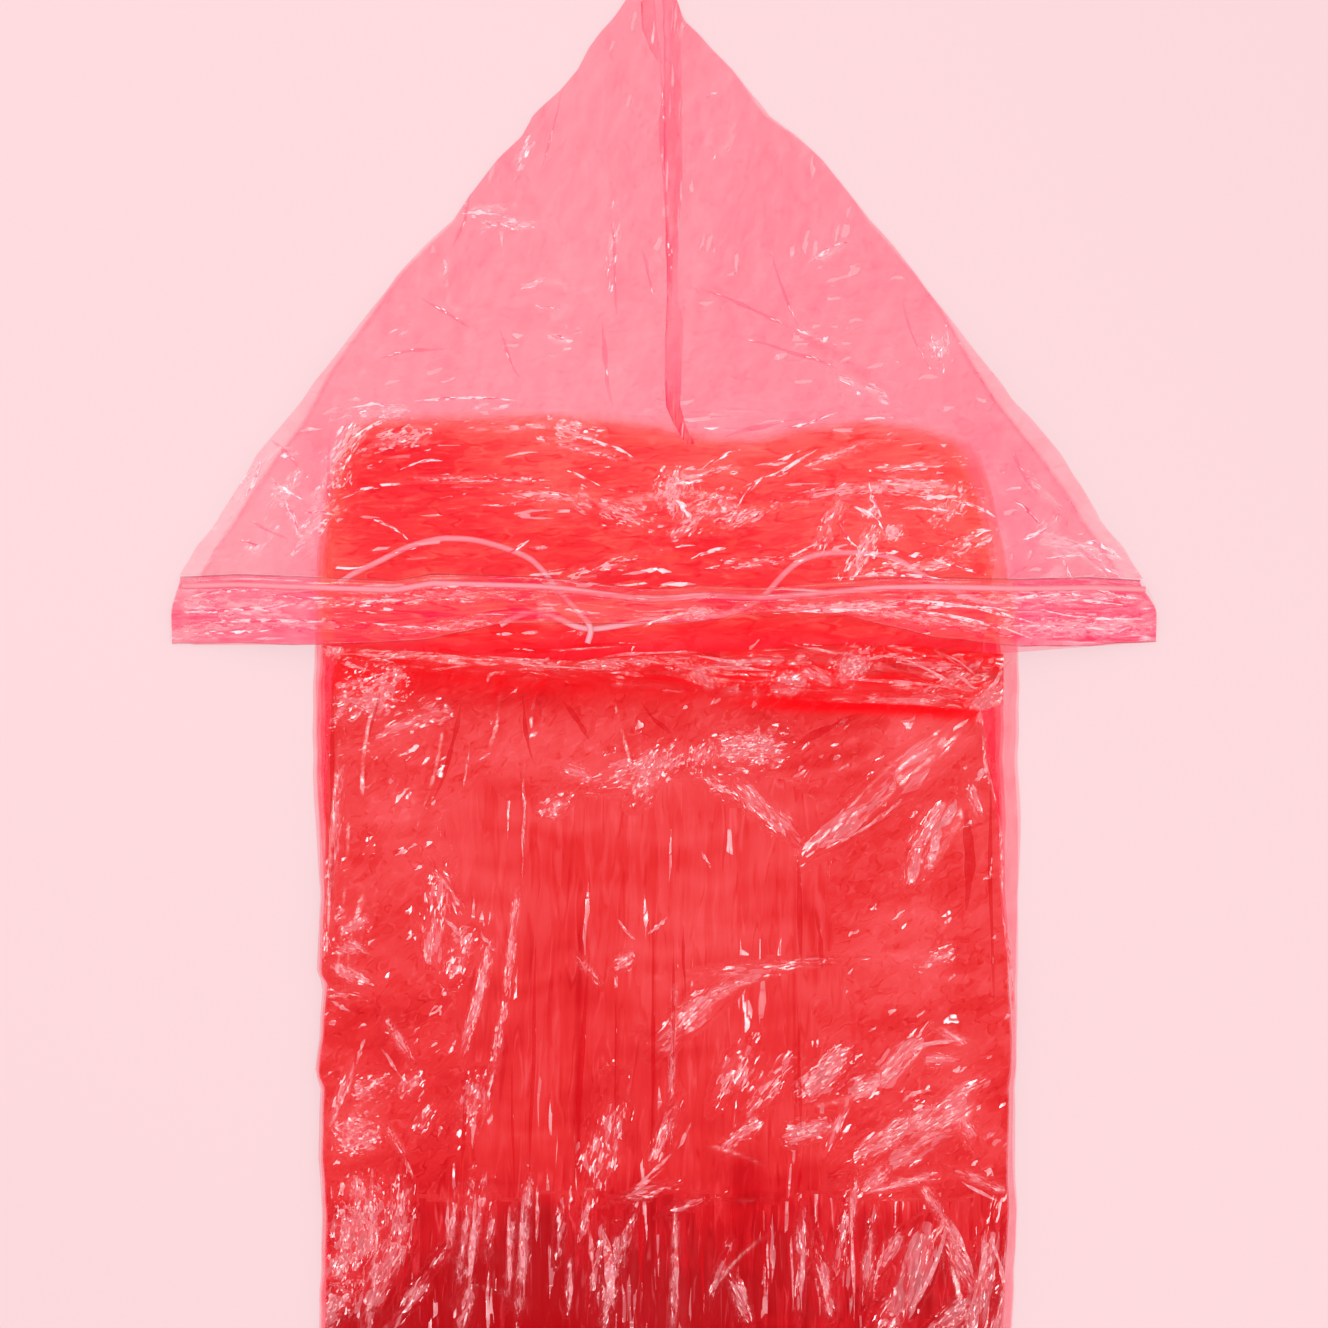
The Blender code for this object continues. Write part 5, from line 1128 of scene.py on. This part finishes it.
def body_tone(x, y):
    """The body's own tone, and how much it glows deep red, where light comes through one layer."""
    tone = between(BODY_TONES, "y", "tone", y)
    for shade in BODY_SHADES:
        away = np.hypot((x - shade.x) / shade.across, (y - shade.y) / shade.down)
        tone = tone - shade.amount * ramp(away, 0.3, 1.2, 1.0, 0.0)
    tone = tone + 0.16 * (soft_noise(x, y, 34.0, 31) - 0.5)
    tone = tone + 0.1 * facets(x, y, 15.0, 32, 20.0, 1.5)
    glow = ramp(y, 18.0, 4.0, 0.0, 0.8) * ramp(y, -22.0, -40.0, 1.0, 0.0)
    glow = glow * (0.75 + 0.25 * facets(x, y, 7.0, 36, 2.0, 5.0))
    below = ramp(y, -24.0, -44.0, 1.0, 0.0) * ramp(y, -6.0, -20.0, 0.0, 1.0)
    glow = np.maximum(glow, below * (0.45 + 0.5 * facets(x, y, 9.0, 35, 70.0, 2.0)))
    seam = between(NECK, "x", "seam_edge", x)
    wedge = ramp(seam - y, 3.0, 9.0, 1.0, 0.0) * ramp(x, 10.0, 90.0, 0.0, 1.0)
    glow = np.maximum(glow, wedge * (x < KNOT.x) * (y < -12.0))
    return tone, np.clip(glow, 0.0, 1.0)


def front_height(y, relief):
    """The front film's height above the surface: flatter under the hood and the neck seam."""
    return np.maximum((relief + 1.1) * ramp(y, -18.0, -46.0, 0.12, 1.0), 0.0)


def add_front_film():
    """The middle of the front, with the pack creases and the puckers under the neck."""
    rows = body_rows(PHOTO_STEP, FAR_STEP)
    inset = [between(FRONT_INSET, "y", side, rows) for side in ("left", "right")]
    x, y = body_grid(rows, FRONT_COLUMNS, *inset)
    wave = 24.0 * (soft_noise(x, y, 22.0, 38) - 0.5)
    hooded = ramp(y + wave, -14.0, 6.0, 0.0, 1.0)
    middle = ramp(np.abs(x + 15.0 + wave), 100.0, 125.0, 1.0, 0.0)
    middle = middle * ramp(y + wave, -70.0, -110.0, 0.0, 1.0)
    low_down = ramp(y + 0.5 * wave, -322.0, -340.0, 0.0, 1.0)
    weaves = [
        CRUMPLED,
        Weave(middle, 6.0, 88.6, 7.0),
        Weave(low_down, 4.4, 89.5, 8.0),
        Weave(hooded, 5.0, 3.0, 3.4),
    ]
    surface = film_surface(x, y, weaves, BODY_CREASES, BODY_PATCHES, FRONT_SEED)
    tone, glow = body_tone(x, y)
    # The film fades out towards its top edge, and under the hood towards its sides.
    edge = SHOULDER_Y - y - between(SHOULDER_SAG, "x", "sag", x) - 4.0 * soft_noise(x, y, 16.0, 37)
    full_at = 16.0 + ramp(x, -40.0, 40.0, 0.0, 14.0)
    alpha = ramp(edge, -1.0, 5.0, 0.0, 0.6) + ramp(edge, 5.0, full_at, 0.0, 0.4)
    right = between(BODY_EDGE, "y", "right", y) - between(FRONT_INSET, "y", "right", y)
    alpha = alpha * ramp(right - x, 0.0, ramp(y, 10.0, 90.0, 1.0, 22.0), 0.35, 1.0)
    left = between(BODY_EDGE, "y", "left", y) + between(FRONT_INSET, "y", "left", y)
    alpha = alpha * ramp(x - left, 0.0, ramp(y, 10.0, 60.0, 1.0, 11.0), 0.45, 1.0)
    streaks = 0.16 - 0.03 * middle + 0.07 * low_down + 0.14 * hooded
    sparkle = 0.004 * (1 - middle) * (1 - low_down) + 0.002
    crumple = 0.14 + 0.12 * hooded
    warm = ramp(y + wave, -10.0, 10.0, 0.0, 0.3)
    masks = film_masks(surface, tone, glow, alpha, crumple, sparkle, streaks, warm)
    height = FRONT_FILM + front_height(y, surface["height"])
    piece = add_grid("front_film", x, y, height, masks)
    return wear(piece, BODY_LOOK, "front_panel")


FOLD_ROWS = 22
FOLD_LIFT = 0.35  # how far a fold stands on its film


def fold_strips(folds, seed):
    """x and y of tapering strips along the folds, with their surface and their alpha."""
    share = np.linspace(0.0, 1.0, FOLD_ROWS)
    aside = np.array([-0.5, 0.0, 0.5])
    found = []
    for number, fold in enumerate(folds):
        dx = fold.x1 - fold.x0
        dy = fold.y1 - fold.y0
        length = math.hypot(dx, dy)
        row = share * 0 + number
        wander = soft_noise(share * 7.0, row, 1.0, seed)
        width = fold.width * np.sin(np.pi * share) ** 0.6 * (0.45 + 1.1 * wander)
        swing = 1.2 * (soft_noise(share * 4.0, row, 1.0, seed + 1) - 0.5)
        swing = fold.bow * 4 * share * (1 - share) + swing
        side = swing[:, None] + width[:, None] * aside
        x = fold.x0 + (dx * share)[:, None] - dy / length * side
        y = fold.y0 + (dy * share)[:, None] + dx / length * side
        angle = math.degrees(math.atan2(dy, dx))
        slope_x, slope_y = best_softbox(Patch(fold.x0, fold.y0, length / 2, 1.0, angle, 1.0, 1.0))
        broken = 0.35 + 1.0 * soft_noise(share * length / 5.0, row, 1.0, seed + 2)
        fade = (0.6 if fold.shine else 0.5) * (np.sin(np.pi * share) ** 0.5)
        values = (
            x,
            y,
            (fold.shine * broken)[:, None],
            (length * share / 5.0)[:, None] + number,
            aside * 1.2,
            slope_x,
            slope_y,
            fade[:, None],
        )
        found.append([np.broadcast_to(value, x.shape) for value in values])
    x, y, shine, along, across, slope_x, slope_y, alpha = (np.vstack(part) for part in zip(*found))
    surface = {"tone": 0.0, "shine": shine, "cells": (along, across), "tilt": (slope_x, slope_y)}
    return x, y, surface, alpha


# Tone, glow and opacity of a film's folds, first where they glitter, then where they darken. The
# paler tone and higher opacity where they glitter are painted highlight.
FoldShades = namedtuple("FoldShades", "tone glow opacity")


def add_folds(name, folds, seed, shades, height_at, warm_at, look, slot_name, node):
    """A film's long thin folds. height_at and warm_at say how they lie at x and y."""
    x, y, surface, alpha = fold_strips(folds, seed)
    bright = surface["shine"] > 0
    tone, glow, opacity = (np.where(bright, *pair) for pair in shades)
    masks = film_masks(surface, tone, glow, alpha * opacity, 0.1, 0.0, 0.1, warm_at(x, y))
    piece = add_grid(name, x, y, height_at(x, y), masks, parts=len(folds))
    return wear(piece, look, node)


def no_warmth(x, y):
    return 0.0


def on_front(x, y):
    """Just above the front film."""
    relief = film_surface(x, y, [CRUMPLED], BODY_CREASES, [], FRONT_SEED)["height"]
    return FRONT_FILM + front_height(y, relief) + FOLD_LIFT


def add_front_folds():
    shades = FoldShades((0.9, 0.3), (0.0, 0.3), (1.25, 1.25))
    worn = BODY_FOLD_LOOK, "film_red", "front_panel"
    return add_folds("front_folds", BODY_FOLDS, 450, shades, on_front, no_warmth, *worn)


def top_fade(x, y, number):
    """How much of a hidden layer's colour shows near its top edge, which waves."""
    wave = 10.0 * soft_noise(x, y * 0 + 70.0 * number, 26.0, 71)
    sag = between(SHOULDER_SAG, "x", "sag", x)
    return ramp(SHOULDER_Y - y - wave - sag, -8.0, 8.0, 0.0, 1.0)


def add_back_film():
    """The lowest layer."""
    rows = body_rows(6.0, 12.0)
    x, y = body_grid(rows, 60, 0.0, 0.0)
    surface = film_surface(x, y, [HIDDEN], [], [], 500)
    height = 0.5 * soft_noise(x, y, 30.0, 51)
    alpha = SIDE_ALPHA * top_fade(x, y, 0)
    hooded = y > 0
    warm = 0.4 + 0.45 * hooded
    masks = film_masks(surface, 0.8 + 0.7 * hooded, 0.0, alpha, 0.2, 0.0, 0.2, warm)
    piece = add_grid("back_film", x, y, BACK_FILM + height, masks)
    return wear(piece, VEIL_LOOK, "back_panel")


# How far the hidden layers' edges lie inside the outline, and below the shoulder.
LayerRow = namedtuple("LayerRow", "left right top level")
SIDE_LAYERS = [
    LayerRow(1.0, 0.8, 2.0, SIDE_FILMS[0]),
    LayerRow(2.6, 9.0, 15.0, SIDE_FILMS[1]),
    LayerRow(4.6, 10.6, 8.0, SIDE_FILMS[2]),
    LayerRow(6.4, 12.8, 22.0, SIDE_FILMS[3]),
]


def add_side_films():
    """The hidden layers, whose edges show at both sides and through the hood."""
    pieces = []
    for number, layer in enumerate(SIDE_LAYERS):
        rows = body_rows(4.0, 12.0)
        wander = 1.4 * soft_noise(rows, rows * 0 + number * 50.0, 50.0, 61)
        tight = ramp(rows, -120.0, -190.0, 1.0, 0.55)
        x, y = body_grid(rows, 60, layer.left * tight + wander, layer.right * tight + wander)
        sunk = layer.top * ramp(x, -40.0, 50.0, 0.3, 1.2)
        sunk = sunk + 7.0 * soft_noise(x, y * 0 + number * 40.0, 36.0, 65)
        y = y - sunk * ramp(y, 60.0, SHOULDER_Y, 0.0, 1.0)
        surface = film_surface(x, y, [HIDDEN], [], [], 520 + number)
        height = 0.35 * soft_noise(x, y, 26.0, 62 + number)
        alpha = (SIDE_ALPHA + 0.07 * number) * top_fade(x, y + layer.top, number + 1)
        hooded = y > 0
        warm = np.maximum(0.7 if number else 0.3, 0.85 * hooded)
        masks = film_masks(surface, 0.6 + 0.95 * hooded, 0.0, alpha, 0.2, 0.0, 0.2, warm)
        piece = add_grid(f"side_film_{number + 1}", x, y, layer.level + height, masks)
        pieces.append(wear(piece, VEIL_LOOK, "folded_sides"))
    return pieces


NECK_LEFT_X = -204.0
NECK_RIGHT_X = 203.0
KNOT = Vector((192.0, -34.0))
KNOT_RISE = 4.0
KNOT_RADIUS = 15.0


def in_knot(x, y):
    """From 0 beside the knot to 1 at its middle."""
    return np.clip(1 - np.hypot(x - KNOT.x, y - KNOT.y) / KNOT_RADIUS, 0.0, 1.0)


def add_neck_film():
    """The gathered seam: long folds along it, small pleats across, and the knot at the right."""
    places = spaced(NECK_LEFT_X, NECK_RIGHT_X, 1.5)
    share = np.linspace(0.0, 1.0, 36)
    upper = between(NECK, "x", "hood_edge", places) - 0.3
    lower = between(NECK, "x", "seam_edge", places)
    rise = between(NECK, "x", "rise", places)
    x = np.repeat(places[None, :], len(share), axis=0)
    y = lower[None, :] + (upper - lower)[None, :] * share[:, None]
    down = 1 - np.repeat(share[:, None], len(places), axis=1)
    profile = np.sin(np.pi * np.clip(down, 0.0, 1.0)) ** 1.2
    surface = film_surface(x, y, [Weave(None, 5.0, -3.0, 3.4)], [], NECK_PATCHES, 1400)
    pleats = 0.5 + 0.5 * facets(x, y, 9.0, 81, 72.0, 2.0)
    folds = 0.5 + 0.5 * facets(x, y, 8.0, 82, -3.0, 7.0)
    height = surface["height"] * 0.5 + rise * profile * (0.25 * pleats + 0.55 * folds)
    height = height + KNOT_RISE * in_knot(x, y) * profile
    tone = 0.66 + 0.3 * facets(x, y, 6.0, 84, -2.0, 7.0)
    glow = np.clip(0.5 + 0.7 * facets(x, y, 8.0, 86, -2.0, 8.0), 0.0, 1.0)
    glow = glow * (1 - 0.7 * surface["shine"])
    soft_edge = ramp(x, 20.0, 120.0, 14.0, 2.0)
    alpha = ramp((y - lower[None, :]) / soft_edge, 0.0, 1.0, 0.0, 1.0)
    masks = film_masks(surface, tone, glow, alpha, 0.6, 0.12, 0.3)
    piece = add_grid("neck_film", x, y, NECK_FILM + np.maximum(height, 0.0), masks)
    return wear(piece, BODY_LOOK, "neck_seam")


def on_neck(x, y):
    """Just above the neck's film."""
    upper = between(NECK, "x", "hood_edge", x)
    lower = between(NECK, "x", "seam_edge", x)
    share = np.clip((upper - y) / (upper - lower), 0.0, 1.0)
    rise = (0.7 * between(NECK, "x", "rise", x) + 0.6) * np.sin(np.pi * share)
    return NECK_FILM + 0.5 + rise + KNOT_RISE * in_knot(x, y)


def add_neck_folds():
    """Wrinkles of the gathered seam, which run together at the knot."""
    shades = FoldShades((0.9, 0.3), (0.0, 0.7), (1.2, 1.2))
    worn = BODY_FOLD_LOOK, "film_red", "neck_seam"
    return add_folds("neck_folds", NECK_FOLDS, 1450, shades, on_neck, no_warmth, *worn)


# ---------------------------------------------------------------- hood


def hood_grid(rows, columns, bottom):
    """x and y of a grid that fills the hood, whose lowest row follows bottom(x)."""
    left = between(HOOD_EDGE, "y", "left", rows)
    right = between(HOOD_EDGE, "y", "right", rows)
    wave = 1.2 * (soft_noise(rows, rows * 0, 11.0, 15) - 0.5)
    share = np.linspace(0.0, 1.0, columns)
    x = (left + wave)[:, None] * (1 - share) + (right - wave)[:, None] * share
    y = np.repeat(rows[:, None], columns, axis=1)
    fade = np.exp(-(y - rows[0]) / 14.0)
    return x, y + (bottom(x) - rows[0]) * fade


RIM = 11.0  # how far the hood's lower film stays inside the wings


def in_rim(x, y):
    """How far a point is inside the line of the rim of the hood's wings, in millimetres."""
    left = between(HOOD_EDGE, "y", "left", y)
    right = between(HOOD_EDGE, "y", "right", y)
    wander = 7.0 * (soft_noise(y, y * 0 + np.sign(x) * 50.0, 40.0, 93) - 0.5)
    wide = RIM * ramp(y, 120.0, 220.0, 1.0, 0.0) + wander
    return np.minimum(x - left, right - x) - wide


HOOD_WARM = 0.75  # how much yellower the hood looks over the body


def over_body(x, y):
    """From 0 beside the body to 1 over it."""
    return ramp(beyond_body(x, y + between(SHOULDER_SAG, "x", "sag", x)), 2.0, -8.0, 0.0, 1.0)


def hood_warmth(x, y):
    return HOOD_WARM * over_body(x, y)


def add_hood_back_film():
    """The hood's lower layer."""
    rows = spaced(-1.0, HOOD_POINT_Y - 1.0, 2.6)
    x, y = hood_grid(rows, 230, lambda x: between(NECK, "x", "hood_edge", x))
    level = ramp(beyond_body(x, y), *HOOD_BACK_STEP, HOOD_BACK_FILM, 0.3)
    surface = film_surface(x, y, [Weave(None, 12.0, 70.0, 2.5)], [], [], 2300)
    height = level + 0.45 * soft_noise(x, y, 22.0, 91)
    alpha = HOOD_ALPHA * ramp(in_rim(x, y), -1.5, 1.0, 0.15, 1.0)
    masks = film_masks(surface, 0.8, 0.0, alpha, 0.2, 0.0, 0.25, hood_warmth(x, y))
    piece = add_grid("hood_back_film", x, y, height, masks)
    return wear(piece, VEIL_LOOK, "hood_back")


def hood_front_surface(x, y):
    """The hood's upper film: its height and how its facets lie."""
    highest = ramp(y, LOFT_END_Y, LOFT_FADE_Y, OVER_CORDS, HOOD_FRONT_FILM)
    beyond = beyond_body(x, y)
    level = ON_SURFACE + (highest - ON_SURFACE) * slope(beyond, *HOOD_FRONT_STEP, 1.0, 0.0)
    on_body = ramp(beyond + 20.0 * (soft_noise(x, y, 20.0, 95) - 0.5), -14.0, 10.0, 1.0, 0.0)
    low_down = ramp(y + 40.0 * (soft_noise(x, y, 30.0, 94) - 0.5), 225.0, 205.0, 0.0, 1.0)
    weaves = [
        Weave(None, 7.0, 80.0, 2.2),
        Weave(low_down, 7.0, 12.0, 2.0),
        Weave(on_body, 5.0, 3.0, 5.0),
    ]
    surface = film_surface(x, y, weaves, HOOD_CREASES, HOOD_PATCHES, 2400)
    surface["on_body"] = on_body
    surface["height"] = level + np.maximum(surface["height"] * 0.8 + 1.0, 0.0)
    return surface


def add_hood_front_film():
    """The hood's upper layer."""
    rows = spaced(36.0, HOOD_POINT_Y, 1.9)
    x, y = hood_grid(rows, 300, lambda x: between(HEM, "x", "upper", x) + 0.3)
    surface = hood_front_surface(x, y)
    on_body = surface["on_body"]
    # It is thinner to the left and denser along the wings' rims and beside the body.
    dense = HOOD_ALPHA + 0.04 * facets(x, y, 13.0, 99, 84.0, 3.0) + 0.5 * surface["tone"]
    wing = ramp(y, 150.0, 60.0, 0.0, 0.06) * ramp(x, -200.0, -215.0, 0.0, 1.0)
    dense = dense - ramp(x, 60.0, -60.0, 0.0, 0.05) - wing
    rim = 0.16 * np.exp(-((in_rim(x, y) - 1.0) / 1.6) ** 2)
    dense = dense + rim * ramp(y, 190.0, 240.0, 1.0, 0.0)
    near_body = ramp(beyond_body(x, y), 0.0, 34.0, 1.0, 0.0) * ramp(y, 110.0, 150.0, 1.0, 0.0)
    near_body = near_body * np.where(x < 0, 1.8, 1.0)
    dense = np.clip(dense + 0.08 * near_body * (1 - on_body), 0.1, 0.9)
    tone = 0.9 + 0.12 * facets(x, y, 20.0, 98, 60.0, 2.0)
    sparkle = 0.02 + 0.06 * on_body
    streaks = 0.18 + 0.14 * on_body
    masks = film_masks(surface, tone, 0.0, dense, 0.2, sparkle, streaks, hood_warmth(x, y))
    piece = add_grid("hood_front_film", x, y, surface["height"], masks)
    return wear(piece, HOOD_LOOK, "hood_front")


def on_hood(x, y):
    """Just above the hood's upper film."""
    return hood_front_surface(x, y)["height"] + FOLD_LIFT


def add_hood_folds():
    shades = FoldShades((0.8, 0.8), (0.0, 0.0), (1.1, 0.6))
    worn = HOOD_FOLD_LOOK, "film_pink", "hood_front"
    return add_folds("hood_folds", HOOD_FOLDS, 2450, shades, on_hood, hood_warmth, *worn)


def add_weld_film(name, strip):
    """A doubled strip of the weld, on the hood's upper film."""
    rows = spaced(strip[-1].y, strip[0].y, 1.9)
    middle = between(strip, "y", "middle", rows)
    width = between(strip, "y", "width", rows) + 1.6 * (soft_noise(rows, rows * 0, 9.0, 17) - 0.5)
    share = np.linspace(-0.5, 0.5, 13)
    x = middle[:, None] + width[:, None] * share
    y = np.repeat(rows[:, None], len(share), axis=1)
    height = hood_front_surface(x, y)["height"]
    surface = film_surface(x, y, [Weave(None, 3.0, 88.0, 8.0)], [], [], 1800)
    low_down = ramp(y, 175.0, 130.0, 0.0, 1.0)
    dense = 0.26 + 0.44 * low_down + 0.12 * facets(x, y, 5.0, 18, 88.0, 8.0)
    dense = np.clip(dense + 0.2 * (share < -0.4)[None, :], 0.05, 0.95)
    tone = 0.6 + 0.5 * low_down
    masks = film_masks(surface, tone, 0.0, dense, 0.4, 0.06, 0.3, 0.5 * low_down)
    piece = add_grid(name, x, y, height + 0.5, masks)
    return wear(piece, HOOD_LOOK, "hood_seam")


# ---------------------------------------------------------------- hem and string

# How far the hem's upper film stands above its lower one, beside the string and over it.
HEM_FLAT = 1.6
HEM_FULL = 5.2
# At its two ends the hem's upper edge is this much shorter than its lower one.
HEM_SLANT_LEFT = 5.0
HEM_SLANT_RIGHT = 9.6
HEM_SLANT_START = 240.0
HEM_WARM = 0.5  # how much yellower the hem looks over the body
STRING_LEVEL = 2.6  # the middle of the string above the hem's underside


def hem_low(x):
    """The underside of the hem."""
    outside = beyond_body(x, np.zeros_like(x))
    level = ON_SURFACE - 0.2 + (OVER_CORDS - ON_SURFACE) * slope(outside, *HEM_STEP, 1.0, 0.0)
    return level + between(HEM, "x", "lift", x)


def hem_rise(x, y, relief):
    """How far the hem's upper film stands above its underside."""
    lower = between(HEM, "x", "lower", x)
    upper = between(HEM, "x", "upper", x)
    share = np.clip((y - lower) / (upper - lower), 0.0, 1.0)
    edge = ramp(np.minimum(share, 1 - share), 0.0, 0.38, 0.0, 1.0)
    bulge = np.clip(1.5 - np.abs(y - between(HEM, "x", "string", x)) / 5.0, 0.0, 1.0)
    wrinkle = facets(x, y, 6.0, 25, 1.0, 9.0) * 0.35 + facets(x, y, 11.0, 26, -3.0, 5.0) * 0.5
    tall = HEM_FLAT + (HEM_FULL - HEM_FLAT) * bulge + relief * 0.5 + wrinkle + 0.9
    return np.maximum(tall * edge, 0.3)


def on_hem(x, y):
    """Just above the hem's upper film."""
    return hem_low(x) + hem_rise(x, y, 0.0) + 2 * FOLD_LIFT


def hem_over_body(x, y):
    """From 0 beside the body to 1 over it, along the hem."""
    return ramp(beyond_body(x, y * 0), -6.0, 2.0, 1.0, 0.0)


def hem_warmth(x, y):
    return HEM_WARM * hem_over_body(x, y)


def add_hem_folds():
    """The hem's long wrinkles."""
    shades = FoldShades((0.9, 0.9), (0.0, 0.0), (1.2, 0.6))
    worn = HOOD_FOLD_LOOK, "weld_red", "hood_hem"
    return add_folds("hem_folds", HEM_FOLDS, 3450, shades, on_hem, hem_warmth, *worn)


def add_hem_film():
    """The channel: a flattened tube of film round the string, with long wrinkles."""
    places = spaced(-295.0, 295.0, 1.6)
    share = np.linspace(0.0, 1.0, 28)
    share = np.concatenate([share, share[-2:0:-1]])
    on_top = (np.arange(len(share)) >= 27)[:, None]
    x = np.repeat(places[None, :], len(share), axis=0)
    wander = 0.9 * (soft_noise(places, places * 0, 16.0, 23) - 0.5)
    lower = between(HEM, "x", "lower", places) + wander
    upper = between(HEM, "x", "upper", places)
    y = lower[None, :] + (upper - lower)[None, :] * share[:, None]
    surface = film_surface(x, y, [Weave(None, 4.0, 1.0, 8.0)], [], HEM_PATCHES, 3400)
    surface["shine"] = surface["shine"] * on_top
    z = hem_low(x) + np.where(on_top, hem_rise(x, y, surface["height"]), 0.0)
    slant = np.where(x > 0, HEM_SLANT_RIGHT, HEM_SLANT_LEFT)
    slant = slant * ramp(share, 0.45, 1.0, 0.0, 1.0)[:, None]
    x = x - np.sign(x) * slant * ramp(np.abs(x), HEM_SLANT_START, places[-1], 0.0, 1.0)
    dense = HEM_ALPHA + 0.12 * facets(x, y, 5.0, 27, 1.0, 10.0)
    dense = np.clip(dense + ramp(x, 190.0, 225.0, 0.06, 0.14), 0.1, 0.9)
    tone = 0.86 + 0.29 * hem_over_body(x, y)
    masks = film_masks(surface, tone, 0.0, dense, 0.4, 0.05 * on_top, 0.35, hem_warmth(x, y))
    piece = add_grid("hem_film", x, y, z, masks, closed=True)
    return wear(piece, HOOD_LOOK, "hood_hem")


CURVE_STEPS = 16  # straight pieces that measure the curve between two route points


def smooth_route(points, step):
    """Points about one step apart on a smooth curve through a route's own points."""
    ends = [points[0] * 2 - points[1]] + points + [points[-1] * 2 - points[-2]]
    dense = []
    for first, start, end, last in zip(ends, ends[1:], ends[2:], ends[3:]):
        for number in range(CURVE_STEPS):
            t = number / CURVE_STEPS
            bend = (2 * first - 5 * start + 4 * end - last) * t * t
            twist = (3 * start - first - 3 * end + last) * t * t * t
            dense.append((2 * start + (end - first) * t + bend + twist) / 2)
    dense.append(points[-1])
    lengths = [0.0]
    for start, end in zip(dense, dense[1:]):
        lengths.append(lengths[-1] + (end - start).length)
    wanted = np.linspace(0.0, lengths[-1], round(lengths[-1] / step) + 1)
    columns = [np.interp(wanted, lengths, [point[axis] for point in dense]) for axis in range(3)]
    return [Vector(place) for place in zip(*columns)], lengths[-1]


def add_string(name, points, look, node):
    """A soft round string along points in millimetres."""
    curve = bpy.data.curves.new(name, "CURVE")
    curve.dimensions = "3D"
    curve.bevel_depth = CORD / 2 * MM
    curve.bevel_resolution = 4
    curve.use_fill_caps = True
    spline = curve.splines.new("POLY")
    spline.points.add(len(points) - 1)
    for target, point in zip(spline.points, points):
        target.co = (ORIGIN_X + point.x * MM, ORIGIN_Y + point.y * MM, point.z * MM, 1.0)
    obj = add_object(name, curve)
    obj.visible_shadow = False
    return wear(obj, look, node)


def add_strings():
    """The string in the hem, and its two free ends."""
    places = spaced(-288.0, 288.0, 6.0)
    level = hem_low(places) + STRING_LEVEL
    side = between(HEM, "x", "string", places)
    channel = [Vector(place) for place in zip(places, side, level)]
    add_string("channel_string", channel, CHANNEL_LOOK, "drawstring_channel")
    for name, route in (("left_end", LEFT_END), ("right_end", RIGHT_END)):
        points = [Vector((row.x, row.y, CORD_LEVEL + row.lift)) for row in route]
        points, length = smooth_route(points, 3.0)
        piece = add_string(f"string_{name}", points, STRING_LOOK, f"drawstring_{name}")


# ---------------------------------------------------------------- floor

FLOOR_HALF = 30.0
FLOOR_Z = -0.0002
FLOOR_PINK = (0.808, 0.618, 0.638, 1.0)


def add_floor():
    """The plain surface under the poncho."""
    half = FLOOR_HALF
    corners = [(-half, -half, 0.0), (half, -half, 0.0), (half, half, 0.0), (-half, half, 0.0)]
    mesh = bpy.data.meshes.new("floor")
    mesh.from_pydata(corners, [], [(0, 1, 2, 3)])
    nodes = Nodes("floor_paper")
    nodes.shader.inputs["Base Color"].default_value = FLOOR_PINK
    nodes.shader.inputs["Roughness"].default_value = 0.9
    nodes.shader.inputs["Specular IOR Level"].default_value = 0.0
    mesh.materials.append(nodes.material)
    floor = add_object("floor", mesh)
    floor.location.z = FLOOR_Z


# ---------------------------------------------------------------- the whole scene


def main():
    add_camera()
    add_strings()
    back = add_back_film()
    sides = add_side_films()
    front = add_front_film()
    neck = add_neck_film()
    hood_back = add_hood_back_film()
    hood_front = add_hood_front_film()
    weld = add_weld_film("weld_film", HOOD_SEAM)
    tip = add_weld_film("weld_tip_film", SEAM_FOLD)
    folds = [add_front_folds(), add_neck_folds(), add_hood_folds(), add_hem_folds()]
    hem = add_hem_film()
    for piece in (hood_back, hood_front, weld, tip, hem, back, front, neck, *sides, *folds):
        piece.visible_shadow = False
    add_floor()
    add_lights()
    view = bpy.context.scene.view_settings
    view.view_transform = "Standard"
    cycles = bpy.context.scene.cycles
    cycles.transparent_max_bounces = 24
    cycles.max_bounces = 3
    cycles.use_light_tree = False
    cycles.diffuse_bounces = 1
    cycles.glossy_bounces = 1
    cycles.caustics_reflective = False
    cycles.caustics_refractive = False


main()
